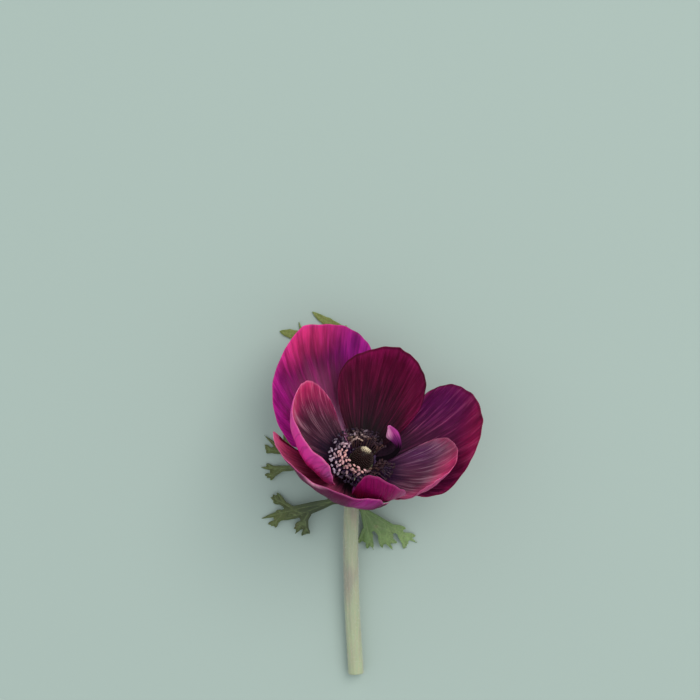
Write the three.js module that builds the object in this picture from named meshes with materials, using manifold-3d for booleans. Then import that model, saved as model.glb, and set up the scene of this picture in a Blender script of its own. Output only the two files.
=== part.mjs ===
// A picked anemone: an open, cup-shaped bloom of seven broad petals round a dark dome and its ring of
// stamens, above a collar of three deeply cut leaves on a cut stem. It lies on a surface, with the bloom
// leaning back on its collar. Millimetres, +Z up. The surface is z = 0, the stem runs towards -Y and the
// bloom looks up and +Y.
import * as THREE from "three";
import { mergeVertices } from "three/addons/utils/BufferGeometryUtils.js";
import Module from "manifold-3d";

const wasm = await Module();
wasm.setup();

// Driving dimensions of the bloom, measured in its own frame: +Z is its axis, z = 0 the top of the
// receptacle
const bloomHeight = 18.5; // receptacle above the surface
const bloomTilt = 33; // degrees from upright to the bloom's axis, towards +Y
const bloomLean = 19; // degrees that the tilted axis is turned from +Y towards +X
const receptacleRadius = 4.8;
const receptacleTop = 0.4;
const seatGap = 0.35; // between a piece and what carries it
const petalThickness = 0.7;
const petalBaseHalfWidth = 2.4;
const petalCells = { across: 12, along: 8 };
const rimSweep = 118; // degrees of the rim's ellipse each side of the tip, before the straight sides begin

// One row for each petal. azimuth is round the bloom's axis from +X, attach the height of its foot, rise
// the slope at the foot and at the tip in degrees, and fold how much that last slope gains from one side
// to the other. slant is how far the rim stands higher on one side, and skew how much wider the petal is
// to the left than to the right. widest is how far along its left and right sides are widest, and cup how
// far they lift. rim lists where the rim stands out or in, from -1 at the left to 1 at the right, by how
// much and over how wide a stretch, and wave is the height of its ripple. Left is against the clock's way.
const petals = [
  {
    name: "petal_back_left", azimuth: 137.5, attach: -2.6, length: 55, width: 46.5,
    rise: [-2, 74], fold: 0, slant: -2, skew: 0, widest: [0.45, 0.58], cup: [0, 0],
    rim: [[-0.05, 2.2, 0.13], [-0.36, -2.4, 0.2], [0.5, 0.7, 0.2]], wave: 0.7,
  },
  {
    name: "petal_back", azimuth: 90, attach: -1.3, length: 44.5, width: 34,
    rise: [6, 80], fold: 0, slant: 0, skew: 0.1, widest: [0.58, 0.58], cup: [0.6, 0.6],
    rim: [[0, 1.2, 0.12]], wave: 0.6,
  },
  {
    name: "petal_right", azimuth: 24.5, attach: -2.6, length: 50, width: 43.5,
    rise: [0, 79], fold: 10, slant: -3, skew: 0.05, widest: [0.58, 0.58], cup: [0, 0],
    rim: [[-0.9, 3, 0.2], [-0.5, -0.6, 0.14]], wave: 0.7,
  },
  {
    name: "petal_right_inner", azimuth: -13, attach: -1.6, length: 41.6, width: 32,
    rise: [7, 87], fold: 8, slant: 1.5, skew: 0.2, widest: [0.58, 0.58], cup: [0.4, 2],
    rim: [], wave: 0.5,
  },
  {
    name: "petal_front", azimuth: -64, attach: -0.65, length: 42.5, width: 20,
    rise: [11, 108], fold: 10, slant: 3, skew: 0, widest: [0.58, 0.58], cup: [2.2, 2],
    rim: [], wave: 0.5,
  },
  {
    name: "petal_front_left", azimuth: -123.5, attach: -2.6, length: 38, width: 49.5,
    rise: [6, 80], fold: -18, slant: 0, skew: 0.06, widest: [0.58, 0.82], cup: [0, 0],
    rim: [[-0.42, 1.2, 0.2], [-0.72, -1.6, 0.1], [-1, 3.2, 0.12]], wave: 0.6,
  },
  {
    name: "petal_left_inner", azimuth: 175.5, attach: -0.6, length: 42.5, width: 47,
    rise: [5, 92], fold: -4, slant: -3, skew: 0.36, widest: [0.4, 0.58], cup: [7.5, 0.6],
    rim: [[-0.05, 1.4, 0.25]], wave: 0.5,
  },
];

// Ovary: a dome of small carpels, each a raised point of its surface
const ovary = { radius: 4.0, height: 7.7, bottom: 0.75, columns: 26, rows: 9, carpelRise: 0.3 };

// Stamens, in rows from the dome outwards: a thin filament that bends out, with an anther across its end
const stamenRing = { inner: 4.8, outer: 6.4, bottom: 0.75, top: 1.7, sides: 24 };
const stamenRows = [
  { count: 12, reach: 6.9, height: 5.8 },
  { count: 16, reach: 8.6, height: 5.4 },
  { count: 18, reach: 10.4, height: 4.7 },
  { count: 20, reach: 12.0, height: 3.9 },
];
const filamentRadius = 0.32;
const anther = { length: 2.4, width: 1.25, sides: 4 };

// A narrow petal-like blade that stands among the outer stamens. Each row has the distance from the axis,
// azimuth and height of its middle line, half its width, and how far its width is turned from along the
// ring to outwards.
const petaloidRows = [
  { radius: 5.6, azimuth: 20, height: 2.2, half: 1.2, twist: 5 },
  { radius: 9.6, azimuth: 24, height: 2.9, half: 1.0, twist: 20 },
  { radius: 14.5, azimuth: 37, height: 4.1, half: 1.0, twist: 55 },
  { radius: 13.7, azimuth: 55.5, height: 7.7, half: 2.6, twist: 75 },
  { radius: 13.2, azimuth: 66, height: 11.4, half: 0.5, twist: 80 },
];
const petaloidGap = { from: 6, to: 70, innerTo: 44 }; // azimuths round it that are free of stamens

// Stem: centre line from the receptacle to the cut end, in the part's frame before it is centred
const stemRadius = { neck: 2.1, collar: 3.1, middle: 2.8, end: 2.9 };
const stemSides = 12;
const stemEnd = [-1.6, -82, stemRadius.end - 0.3];
const collarPoint = [-3.0, -14.2, 7.4];

// Collar leaves. heading is in degrees from +X, stalk the length before the leaf parts into its segments,
// and heights are those of its underside at the foot, at a third, at two thirds and at the tips. A segment
// has its angle to the heading, its length and its lobes, each with a place along it, an angle to it and a
// length.
const bladeThickness = 0.8;
const leaves = [
  {
    name: "leaf_left", heading: 191, length: 36, stalk: 7, width: 2.9, lobeWidth: 2.2,
    heights: [7.2, 5.4, 2.4, -0.1], seed: 5,
    segments: [
      { angle: 4, length: 29, lobes: [[0.3, 44, 13], [0.55, -41, 10.5], [0.7, 32, 7]] },
      { angle: 10, length: 22, lobes: [[0.46, 34, 8], [0.6, -30, 6]] },
      { angle: -53, length: 36.5, lobes: [[0.34, -34, 10], [0.5, 42, 15], [0.62, -30, 10], [0.74, 30, 7]] },
    ],
  },
  {
    name: "leaf_back", heading: 107, length: 72, stalk: 30.5, width: 3.1, lobeWidth: 3.3,
    heights: [5.0, 1.9, 0.9, -0.1], seed: 11,
    segments: [
      { angle: 0, length: 39.5, lobes: [[0.3, 30, 9], [0.43, -28, 7], [0.6, 26, 7], [0.87, 64, 9]] },
      { angle: -14, length: 34, lobes: [[0.3, -26, 9], [0.5, 25, 8], [0.64, -24, 9], [0.8, 24, 6]] },
      { angle: -27, length: 36, lobes: [[0.3, -28, 10], [0.5, 24, 7], [0.66, -24, 9], [0.98, 70, 14.5]] },
    ],
  },
  {
    name: "leaf_right", heading: -50, length: 31, stalk: 6, width: 2.5, lobeWidth: 1.9,
    heights: [7.2, 5.2, 2.2, -0.1], seed: 23,
    segments: [
      { angle: 17.5, length: 25, lobes: [[0.38, -32, 9], [0.52, 24, 6], [0.66, -30, 7], [0.76, 24, 4.5]] },
      { angle: -3.5, length: 20, lobes: [[0.4, 34, 8], [0.58, -28, 6], [0.7, 30, 5.5]] },
      { angle: -25, length: 16.5, lobes: [[0.4, -36, 7.5], [0.7, -30, 4.5]] },
    ],
  },
];

const finestEdge = 0.02; // joined pieces keep no edge or bump smaller than this
const degrees = Math.PI / 180;

// A repeatable draw from 0 to 1, the same for the same seed
function seeded(seed) {
  let state = seed * 2654435761;
  return () => {
    state = (Math.imul(state ^ (state >>> 15), 2246822519) + 374761393) >>> 0;
    return ((state ^ (state >>> 13)) >>> 0) / 4294967296;
  };
}

// Closed skin over a row of rings with the same number of points, with a flat fan at each end
function loft(rings) {
  const corners = [];
  const count = rings[0].length;
  const triangle = (a, b, c) => corners.push(a.x, a.y, a.z, b.x, b.y, b.z, c.x, c.y, c.z);
  for (let i = 0; i + 1 < rings.length; i++)
    for (let j = 0; j < count; j++) {
      const k = (j + 1) % count;
      triangle(rings[i][j], rings[i][k], rings[i + 1][k]);
      triangle(rings[i][j], rings[i + 1][k], rings[i + 1][j]);
    }
  const first = rings[0];
  const last = rings[rings.length - 1];
  for (let j = 1; j + 1 < count; j++) {
    triangle(first[0], first[j + 1], first[j]);
    triangle(last[0], last[j], last[j + 1]);
  }
  return geometryOf(corners);
}

function geometryOf(corners) {
  const geometry = new THREE.BufferGeometry();
  geometry.setAttribute("position", new THREE.Float32BufferAttribute(corners, 3));
  return geometry;
}

function solidOf(geometry) {
  const bare = geometry.index ? geometry.toNonIndexed() : geometry.clone();
  bare.deleteAttribute("normal");
  bare.deleteAttribute("uv");
  const merged = mergeVertices(bare, 1e-4);
  return new wasm.Manifold(
    new wasm.Mesh({
      numProp: 3,
      vertProperties: merged.attributes.position.array,
      triVerts: new Uint32Array(merged.index.array),
    }),
  );
}

function geometryFrom(solid) {
  const mesh = solid.simplify(finestEdge).getMesh();
  const positions = new Float32Array(mesh.numVert * 3);
  for (let i = 0; i < mesh.numVert; i++)
    for (let k = 0; k < 3; k++) positions[i * 3 + k] = mesh.vertProperties[i * mesh.numProp + k];
  const geometry = new THREE.BufferGeometry();
  geometry.setAttribute("position", new THREE.BufferAttribute(positions, 3));
  geometry.setIndex(new THREE.BufferAttribute(new Uint32Array(mesh.triVerts), 1));
  return geometry;
}

function joined(solids) {
  return solids.reduce((sum, solid) => sum.add(solid));
}

// A thin blade between two faces of the same grid, cut into triangles alike on both faces
function sheetBlade(point, cells, thickness) {
  const grid = [];
  for (let i = 0; i <= cells.along; i++) {
    const row = [];
    for (let j = 0; j <= cells.across; j++) row.push(point(-1 + (2 * j) / cells.across, i / cells.along));
    grid.push(row);
  }
  const step = 1e-3;
  const face = (side) =>
    grid.map((row, i) =>
      row.map((p, j) => {
        const across = -1 + (2 * j) / cells.across;
        const along = i / cells.along;
        const du = point(across + step, along).sub(point(across - step, along));
        const dv = point(across, along + step).sub(point(across, along - step));
        return p.clone().addScaledVector(du.cross(dv).normalize(), (side * thickness) / 2);
      }),
    );
  const top = face(1);
  const bottom = face(-1);
  const corners = [];
  const triangle = (a, b, c) => corners.push(a.x, a.y, a.z, b.x, b.y, b.z, c.x, c.y, c.z);
  const quad = (a, b, c, d) => {
    triangle(a, b, c);
    triangle(a, c, d);
  };
  for (let i = 0; i < cells.along; i++)
    for (let j = 0; j < cells.across; j++) {
      quad(top[i][j], top[i][j + 1], top[i + 1][j + 1], top[i + 1][j]);
      triangle(bottom[i][j], bottom[i + 1][j + 1], bottom[i][j + 1]);
      triangle(bottom[i][j], bottom[i + 1][j], bottom[i + 1][j + 1]);
    }
  const lastRow = cells.along;
  const lastColumn = cells.across;
  for (let j = 0; j < cells.across; j++) {
    quad(bottom[0][j], bottom[0][j + 1], top[0][j + 1], top[0][j]);
    quad(top[lastRow][j], top[lastRow][j + 1], bottom[lastRow][j + 1], bottom[lastRow][j]);
  }
  for (let i = 0; i < cells.along; i++) {
    quad(top[i][0], top[i + 1][0], bottom[i + 1][0], bottom[i][0]);
    quad(bottom[i][lastColumn], bottom[i + 1][lastColumn], top[i + 1][lastColumn], top[i][lastColumn]);
  }
  return geometryOf(corners);
}

// Distance from the bloom's axis and height of a petal, at an arc length from its foot
function petalProfile(petal, arc, lastRise) {
  const steps = 24;
  let radius = receptacleRadius + seatGap;
  let height = petal.attach;
  for (let i = 0; i < steps; i++) {
    const share = Math.max(0, (arc * (i + 0.5)) / steps / petal.length);
    const slope = (petal.rise[0] + (lastRise - petal.rise[0]) * share) * degrees;
    radius += (Math.cos(slope) * arc) / steps;
    height += (Math.sin(slope) * arc) / steps;
  }
  return { radius, height };
}

// A petal is laid out flat, with its veins fanning from the foot to a rounded rim, and then bent round the
// cup
function petalPoint(petal, across, along) {
  const footRadius = receptacleRadius + seatGap;
  const widest = petal.length * petal.widest[across < 0 ? 0 : 1];
  const sweep = across * rimSweep * degrees;
  const halfWidth = (petal.width / 2) * (1 - petal.skew * Math.sign(across));
  const grown = petal.rim.reduce(
    (sum, [place, size, reach]) => sum + (size / petal.length) * Math.exp(-(((across - place) / reach) ** 2)),
    1,
  );
  const rimX = grown * halfWidth * Math.sin(sweep);
  const rimY = grown * (widest + (petal.length - widest) * Math.cos(sweep) + petal.slant * Math.sin(sweep));
  const footX = across * petalBaseHalfWidth;
  const pull = 2 * along * (1 - along);
  const x = footX * (1 - along) ** 2 + pull * (footX + (rimX - footX) * 0.64) + rimX * along ** 2;
  const y = pull * rimY * 0.44 + rimY * along ** 2;
  const distance = Math.hypot(x, y + footRadius);
  const side = x / halfWidth;
  const lastRise = petal.rise[1] + petal.fold * side;
  const { radius, height } = petalProfile(petal, distance - footRadius, lastRise);
  const turn = Math.atan2(x, y + footRadius) * (distance / radius);
  const azimuth = petal.azimuth * degrees - turn;
  const cup = petal.cup[side < 0 ? 0 : 1] * side ** 2;
  const lift = cup + petal.wave * Math.sin(across * 7 + petal.azimuth) * along ** 4;
  return new THREE.Vector3(
    (radius - lift * 0.5) * Math.cos(azimuth),
    (radius - lift * 0.5) * Math.sin(azimuth),
    height + lift * 0.8,
  );
}

// Smooth line through one value of the small blade's rows
function petaloidValue(key, along) {
  const last = petaloidRows.length - 1;
  const place = along * last;
  const i = Math.min(last - 1, Math.max(0, Math.floor(place)));
  const share = place - i;
  const [a, b, c, d] = [i - 1, i, i + 1, i + 2].map((k) => petaloidRows[Math.min(last, Math.max(0, k))][key]);
  const bend = 2 * a - 5 * b + 4 * c - d;
  return b + (share * (c - a + share * (bend + share * (3 * b - a - 3 * c + d)))) / 2;
}

// Blade rooted over the ring of stamens that runs outwards, then curves up and round between them
function petaloidPoint(across, along) {
  const [radius, azimuth, height, half, twist] = ["radius", "azimuth", "height", "half", "twist"].map((key) =>
    petaloidValue(key, along),
  );
  const turn = azimuth * degrees;
  const outward = radius + across * half * Math.sin(twist * degrees);
  const sideways = across * half * Math.cos(twist * degrees);
  return new THREE.Vector3(
    outward * Math.cos(turn) + sideways * Math.sin(turn),
    outward * Math.sin(turn) - sideways * Math.cos(turn),
    height,
  );
}

// Dome with a raised point for every other crossing of its rows and columns
function ovaryGeometry() {
  const rings = [];
  for (let i = 0; i <= ovary.rows; i++) {
    const ring = [];
    const angle = (i / (ovary.rows + 0.35)) * 90 * degrees;
    for (let j = 0; j < ovary.columns; j++) {
      const rise = i > 0 && i < ovary.rows && (i + j) % 2 === 0 ? ovary.carpelRise : 0;
      const turn = ((j + 0.5 * (i % 2)) / ovary.columns) * 360 * degrees;
      const radius = (ovary.radius + rise) * Math.cos(angle);
      const height = ovary.bottom + (ovary.height + rise) * Math.sin(angle);
      ring.push(new THREE.Vector3(radius * Math.cos(turn), radius * Math.sin(turn), height));
    }
    rings.push(ring);
  }
  return loft(rings);
}

// A thin rod from point to point, with a radius for each
function rod(points, radii, sides) {
  const rings = points.map((point, i) => {
    const before = points[Math.max(0, i - 1)];
    const after = points[Math.min(points.length - 1, i + 1)];
    const ahead = after.clone().sub(before).normalize();
    const across = new THREE.Vector3(0.31, 0.23, 0.92).cross(ahead).normalize();
    const up = ahead.clone().cross(across);
    return Array.from({ length: sides }, (_, j) => {
      const turn = (j / sides) * 360 * degrees;
      return point
        .clone()
        .addScaledVector(across, radii[i] * Math.cos(turn))
        .addScaledVector(up, radii[i] * Math.sin(turn));
    });
  });
  return loft(rings);
}

// Ring on the receptacle with every stamen grown from it
function stamensGeometry() {
  const profile = [
    new THREE.Vector2(stamenRing.inner, stamenRing.bottom),
    new THREE.Vector2(stamenRing.outer, stamenRing.bottom),
    new THREE.Vector2(stamenRing.outer, stamenRing.top - 0.5),
    new THREE.Vector2(stamenRing.inner, stamenRing.top),
    new THREE.Vector2(stamenRing.inner, stamenRing.bottom),
  ];
  const ring = new THREE.LatheGeometry(profile, stamenRing.sides).rotateX(90 * degrees);
  const solids = [solidOf(ring)];
  const draw = seeded(18);
  stamenRows.forEach((row, r) => {
    for (let i = 0; i < row.count; i++) {
      const turn = ((i + 0.5 * (r % 2) + 0.3 * (draw() - 0.5)) / row.count) * 360;
      const reach = row.reach + 0.9 * (draw() - 0.5);
      const height = row.height + 1.0 * (draw() - 0.5);
      const lean = 60 * (draw() - 0.5);
      if (turn > petaloidGap.from && turn < (r > 2 ? petaloidGap.to : petaloidGap.innerTo)) continue;
      solids.push(...stamen(turn * degrees, reach, height, lean * degrees, r / stamenRows.length));
    }
  });
  return geometryFrom(joined(solids));
}

function stamen(turn, reach, height, lean, share) {
  const at = (radius, z) => new THREE.Vector3(radius * Math.cos(turn), radius * Math.sin(turn), z);
  const rootRadius = stamenRing.inner + 0.35 + (stamenRing.outer - stamenRing.inner - 0.8) * share;
  const kneeHeight = stamenRing.top + (height - stamenRing.top) * 0.62;
  const knee = at(rootRadius + (reach - rootRadius) * 0.45, kneeHeight);
  const tip = at(reach, height);
  const foot = at(rootRadius, stamenRing.bottom + 0.3);
  const filament = rod([foot, knee, tip], Array(3).fill(filamentRadius), 3);
  const outward = at(1, 0);
  const sideways = new THREE.Vector3(-Math.sin(turn), Math.cos(turn), 0);
  const along = sideways.multiplyScalar(Math.cos(lean)).addScaledVector(outward, Math.sin(lean));
  const end = (way, reachShare) => tip.clone().addScaledVector(along, (way * anther.length * reachShare) / 2);
  const head = rod(
    [end(-1, 1), end(-1, 0.55), end(1, 0.55), end(1, 1)],
    [0.22, anther.width / 2, anther.width / 2, 0.22],
    anther.sides,
  );
  return [solidOf(filament), solidOf(head)];
}

// The bloom's axis in the part's frame, and the stem's centre line hanging from it
const bloomTurn = new THREE.Euler(-bloomTilt * degrees, 0, -bloomLean * degrees, "ZYX");
const bloomAxis = new THREE.Vector3(0, 0, 1).applyEuler(bloomTurn);
const bloomCentre = new THREE.Vector3(0, 0, bloomHeight);
const collar = new THREE.Vector3(...collarPoint);
const stemLine = new THREE.CatmullRomCurve3(
  [
    bloomCentre.clone().addScaledVector(bloomAxis, -1.5),
    bloomCentre.clone().addScaledVector(bloomAxis, -6.5),
    collar,
    new THREE.Vector3(-3.6, -30, 5.7),
    new THREE.Vector3(-3.2, -55, 4.0),
    new THREE.Vector3(...stemEnd),
  ],
  false,
  "centripetal",
);

// Stem of varying thickness, extra wider all round where it is used to cut a seat
function stemSolid(extra) {
  const steps = 24;
  const frames = stemLine.computeFrenetFrames(steps, false);
  const collarDistance = stemLine.getPointAt(0).distanceTo(collar);
  const length = stemLine.getLength();
  const rings = [];
  for (let i = 0; i <= steps; i++) {
    const distance = (i / steps) * length;
    const point = stemLine.getPointAt(i / steps);
    const past = Math.min(1, Math.max(0, (distance - collarDistance) / 6));
    const base = stemRadius.neck + (stemRadius.middle - stemRadius.neck) * past;
    const bulge = stemRadius.collar - stemRadius.middle;
    const swell = bulge * Math.exp(-(((distance - collarDistance) / 4) ** 2));
    const flare = (stemRadius.end - stemRadius.middle) * (i / steps) ** 6;
    const radius = base + swell + flare + extra;
    rings.push(
      Array.from({ length: stemSides }, (_, j) => {
        const turn = (j / stemSides) * 360 * degrees;
        return point
          .clone()
          .addScaledVector(frames.normals[i], radius * Math.cos(turn))
          .addScaledVector(frames.binormals[i], radius * Math.sin(turn));
      }),
    );
  }
  return solidOf(loft(rings));
}

// The receptacle that the stem widens into, in the part's frame
function receptacleSolid() {
  const profile = [
    [0, -7.5],
    [stemRadius.neck, -7.5],
    [stemRadius.neck + 0.5, -5.6],
    [receptacleRadius - 0.7, -4.2],
    [receptacleRadius, -3.3],
    [receptacleRadius, receptacleTop - 0.3],
    [receptacleRadius - 0.3, receptacleTop],
    [0, receptacleTop],
  ].map(([x, y]) => new THREE.Vector2(x, y));
  const geometry = new THREE.LatheGeometry(profile, 20).rotateX(90 * degrees);
  const place = new THREE.Matrix4().makeRotationFromEuler(bloomTurn).setPosition(bloomCentre);
  return solidOf(geometry.applyMatrix4(place));
}

// Everything below the surface, to flatten what would dip into it
function underfloorSolid() {
  const size = 500;
  return solidOf(new THREE.BoxGeometry(size, size, size).translate(0, 0, -size / 2));
}

// The blades of one leaf, laid out flat with +y along the leaf: a stalk that parts into segments, each
// with pointed lobes to both sides. The longer lobes are forked in turn, unless they run sideways.
function leafBlades(leaf) {
  const draw = seeded(leaf.seed);
  const blades = [];
  const add = (from, angle, length, width, curl, steps) => {
    const thickness = bladeThickness + 0.1 * ((blades.length % 3) - 1);
    const blade = { from, angle, length, width, curl, steps, thickness };
    blades.push(blade);
    return blade;
  };
  const pointOn = (blade, share) => {
    const angle = blade.angle + (blade.curl * share) / 2;
    return [
      blade.from[0] - Math.sin(angle * degrees) * blade.length * share,
      blade.from[1] + Math.cos(angle * degrees) * blade.length * share,
    ];
  };
  add([0, 0], 0, leaf.stalk + 2.5, leaf.width + 0.7, 0, 2);
  const joints = [];
  for (const { angle, length, lobes } of leaf.segments) {
    const curl = 10 * (draw() - 0.5);
    const segment = add([0, leaf.stalk], angle - curl / 2, length, leaf.width, curl, 4);
    for (const [place, turn, reach] of lobes) {
      const sideways = segment.angle + curl * place + turn * 1.15;
      const lobe = add(pointOn(segment, place), sideways, reach, leaf.lobeWidth, -turn * 0.3, 3);
      const side = Math.sign(turn);
      if (reach > 7.5 && Math.abs(turn) < 50)
        add(pointOn(lobe, 0.42), sideways + side * 28, reach * 0.5, leaf.width * 0.6, -side * 8, 2);
      if (place > 0.8)
        joints.push([pointOn(segment, place - 0.25), segment.angle + curl * place, length * 0.25 + 2]);
    }
  }
  // broad joints for the lobes that leave from the thin end of a segment
  for (const [from, angle, length] of joints) add(from, angle, length, leaf.width * 0.9, 0, 4);
  return blades;
}

// Where a point of the flat leaf lies: heading away from the stem, and sagging from its foot down to the
// surface
function leafPoint(leaf, x, y) {
  const reach = Math.min(1, Math.hypot(x, y) / (leaf.length * 0.92));
  const place = Math.min(2.999, reach * 3);
  const i = Math.floor(place);
  const share = place - i;
  const height = leaf.heights[i] + (leaf.heights[i + 1] - leaf.heights[i]) * share;
  const ripple = 0.9 * Math.sin(x * 0.4 + y * 0.16 + leaf.seed) * reach * (1 - reach) * 2;
  const heading = (leaf.heading - 90) * degrees;
  return new THREE.Vector3(
    collar.x + x * Math.cos(heading) - y * Math.sin(heading),
    collar.y + x * Math.sin(heading) + y * Math.cos(heading),
    height + ripple + bladeThickness / 2,
  );
}

const bladeOutline = new THREE.CatmullRomCurve3(
  [0.62, 0.95, 1, 0.72, 0.14].map((half, i) => new THREE.Vector3(half, i / 4, 0)),
);

function bladeSolid(leaf, blade) {
  const rings = [];
  let [x, y] = blade.from;
  for (let i = 0; i <= blade.steps; i++) {
    const angle = (blade.angle + (blade.curl * i) / blade.steps) * degrees;
    const half = (blade.width * bladeOutline.getPoint(i / blade.steps).x) / 2;
    const left = leafPoint(leaf, x - Math.cos(angle) * half, y - Math.sin(angle) * half);
    const right = leafPoint(leaf, x + Math.cos(angle) * half, y + Math.sin(angle) * half);
    const up = new THREE.Vector3(0, 0, blade.thickness / 2);
    const [leftTop, rightTop] = [left.clone().add(up), right.clone().add(up)];
    rings.push([leftTop, rightTop, right.clone().sub(up), left.clone().sub(up)]);
    x -= (Math.sin(angle) * blade.length) / blade.steps;
    y += (Math.cos(angle) * blade.length) / blade.steps;
  }
  return solidOf(loft(rings));
}

const underfloor = underfloorSolid();
const wideStem = stemSolid(seatGap);

// A leaf cut free of the stem and the surface, without the ends of lobes that the stem would part from it
function leafGeometry(leaf) {
  const blades = joined(leafBlades(leaf).map((blade) => bladeSolid(leaf, blade)));
  const pieces = blades.subtract(wideStem).subtract(underfloor).decompose();
  return geometryFrom(pieces.reduce((most, piece) => (piece.volume() > most.volume() ? piece : most)));
}

function plantMaterial(colour, roughness) {
  return new THREE.MeshStandardMaterial({ color: colour, roughness, metalness: 0 });
}
const petalMaterial = plantMaterial(0x7a1450, 0.6);
const stamenMaterial = plantMaterial(0x2a1a3a, 0.5);
const ovaryMaterial = plantMaterial(0x1c1018, 0.4);
const leafMaterial = plantMaterial(0x4c6a2c, 0.6);
const stemMaterial = plantMaterial(0x85805c, 0.6);

function named(name, geometry, material) {
  const mesh = new THREE.Mesh(geometry, material);
  mesh.name = name;
  return mesh;
}

const bloom = new THREE.Group();
bloom.position.copy(bloomCentre);
bloom.rotation.copy(bloomTurn);
for (const petal of petals)
  bloom.add(
    named(
      petal.name,
      sheetBlade((u, v) => petalPoint(petal, u, v), petalCells, petalThickness),
      petalMaterial,
    ),
  );
bloom.add(named("ovary", ovaryGeometry(), ovaryMaterial));
bloom.add(named("stamens", stamensGeometry(), stamenMaterial));
bloom.add(named("petaloid", sheetBlade(petaloidPoint, { across: 4, along: 10 }, 0.65), petalMaterial));

const flower = new THREE.Group();
flower.add(bloom);
const stem = stemSolid(0).add(receptacleSolid()).subtract(underfloor);
flower.add(named("stem", geometryFrom(stem), stemMaterial));
for (const leaf of leaves) flower.add(named(leaf.name, leafGeometry(leaf), leafMaterial));

// The part's origin is on the surface, below the middle of the whole flower
flower.updateMatrixWorld(true);
const extent = new THREE.Box3().setFromObject(flower, true);
const middle = extent.getCenter(new THREE.Vector3());
flower.position.set(-middle.x, -middle.y, -extent.min.z);

const part = new THREE.Group();
part.add(flower);
export default part;
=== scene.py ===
# Looks of a picked anemone, laid down and seen from above.
# Sizes are in millimetres until a mesh is placed in metres.
import math
from contextlib import contextmanager

import bmesh
import bpy
import numpy as np
from mathutils import Matrix, Vector


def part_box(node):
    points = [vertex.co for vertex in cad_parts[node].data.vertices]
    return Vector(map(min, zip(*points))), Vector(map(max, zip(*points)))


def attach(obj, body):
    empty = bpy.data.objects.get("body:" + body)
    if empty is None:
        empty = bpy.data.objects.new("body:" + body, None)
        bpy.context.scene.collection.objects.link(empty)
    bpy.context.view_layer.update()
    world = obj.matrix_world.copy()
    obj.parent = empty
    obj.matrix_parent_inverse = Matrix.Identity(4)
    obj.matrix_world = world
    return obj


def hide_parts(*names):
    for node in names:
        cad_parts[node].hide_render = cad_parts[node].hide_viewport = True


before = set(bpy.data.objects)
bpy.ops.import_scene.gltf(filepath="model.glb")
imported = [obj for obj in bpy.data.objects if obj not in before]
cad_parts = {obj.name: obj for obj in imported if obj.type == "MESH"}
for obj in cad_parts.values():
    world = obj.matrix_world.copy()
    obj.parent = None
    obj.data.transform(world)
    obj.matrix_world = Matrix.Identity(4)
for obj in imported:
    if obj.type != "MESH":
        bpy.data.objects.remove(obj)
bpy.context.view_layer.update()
print("frame loaded, nodes:", len(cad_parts))

mm = 0.001
bpy.context.scene.view_settings.view_transform = "Standard"

# The bloom leans back and to the side, with its centre at a height above the foot of the flower
bloom = {"tilt": 33, "lean": -19, "height": 18.5, "fromOvaryCorner": (3.8005, 3.0413, 1.5337)}
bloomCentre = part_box("ovary")[0] + Vector(bloom["fromOvaryCorner"]) * mm
flowerFoot = bloomCentre - Vector((0, 0, bloom["height"] * mm))
leaned = Matrix.Rotation(math.radians(bloom["lean"]), 3, "Z")
bloomTurn = leaned @ Matrix.Rotation(math.radians(-bloom["tilt"]), 3, "X")


def only(*pieces):
    bpy.ops.object.select_all(action="DESELECT")
    for piece in pieces:
        piece.select_set(True)
    bpy.context.view_layer.objects.active = pieces[-1]


def addModel(primitive, **settings):
    # nothing else is selected, and the model's place is kept in its mesh
    bpy.ops.object.select_all(action="DESELECT")
    primitive(**settings)
    bpy.ops.object.transform_apply(location=True)
    return bpy.context.object


@contextmanager
def editing(piece):
    only(piece)
    bpy.ops.object.mode_set(mode="EDIT")
    bpy.ops.mesh.select_all(action="SELECT")
    yield
    bpy.ops.object.mode_set(mode="OBJECT")


def pointsOf(mesh):
    points = np.empty(len(mesh.vertices) * 3)
    mesh.vertices.foreach_get("co", points)
    return points.reshape(-1, 3)


def setPoints(mesh, points):
    mesh.vertices.foreach_set("co", np.asarray(points, float).ravel())
    mesh.update()


def inBloom(points):
    # from the bloom's own frame, with its axis along z, to its place in the flower
    return points * mm @ np.array(bloomTurn).T + np.array(bloomCentre)


def inFlower(points):
    return points * mm + np.array(flowerFoot)


def unit(vector):
    return vector / np.linalg.norm(vector)


def smoothStep(low, high, value):
    share = np.clip((value - low) / (high - low), 0, 1)
    return share * share * (3 - 2 * share)


hashing = {"start": 2654435761, "factor": 2246822519, "step": 374761393, "mask": 0xFFFFFFFF, "range": 2**32}


def seeded(seed):
    # the same draws as the part's own, so that lobes and stamens grow in the same places
    state = seed * hashing["start"] & hashing["mask"]

    def draw():
        nonlocal state
        state = ((state ^ state >> 15) * hashing["factor"] + hashing["step"]) & hashing["mask"]
        return (state ^ state >> 13) / hashing["range"]

    return draw


def addMark(mesh, name, values):
    mark = mesh.attributes.new(name, "FLOAT", "POINT")
    mark.data.foreach_set("value", np.asarray(values, np.float32))


def copiesJoined(model, name, placed, marks=None):
    # one mesh from copies of the model, each with its own points
    faces = [list(face.vertices) for face in model.data.polygons]
    count = len(model.data.vertices)
    copied = [[k + i * count for k in face] for i in range(len(placed)) for face in faces]
    mesh = bpy.data.meshes.new(name)
    mesh.from_pydata(np.concatenate(placed).tolist(), [], copied)
    for mark, values in (marks or {}).items():
        addMark(mesh, mark, np.repeat(values, count))
    piece = bpy.data.objects.new(name, mesh)
    bpy.context.collection.objects.link(piece)
    only(piece)
    bpy.ops.object.shade_smooth()
    return piece


def discard(piece):
    only(piece)
    bpy.ops.object.delete()


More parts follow.
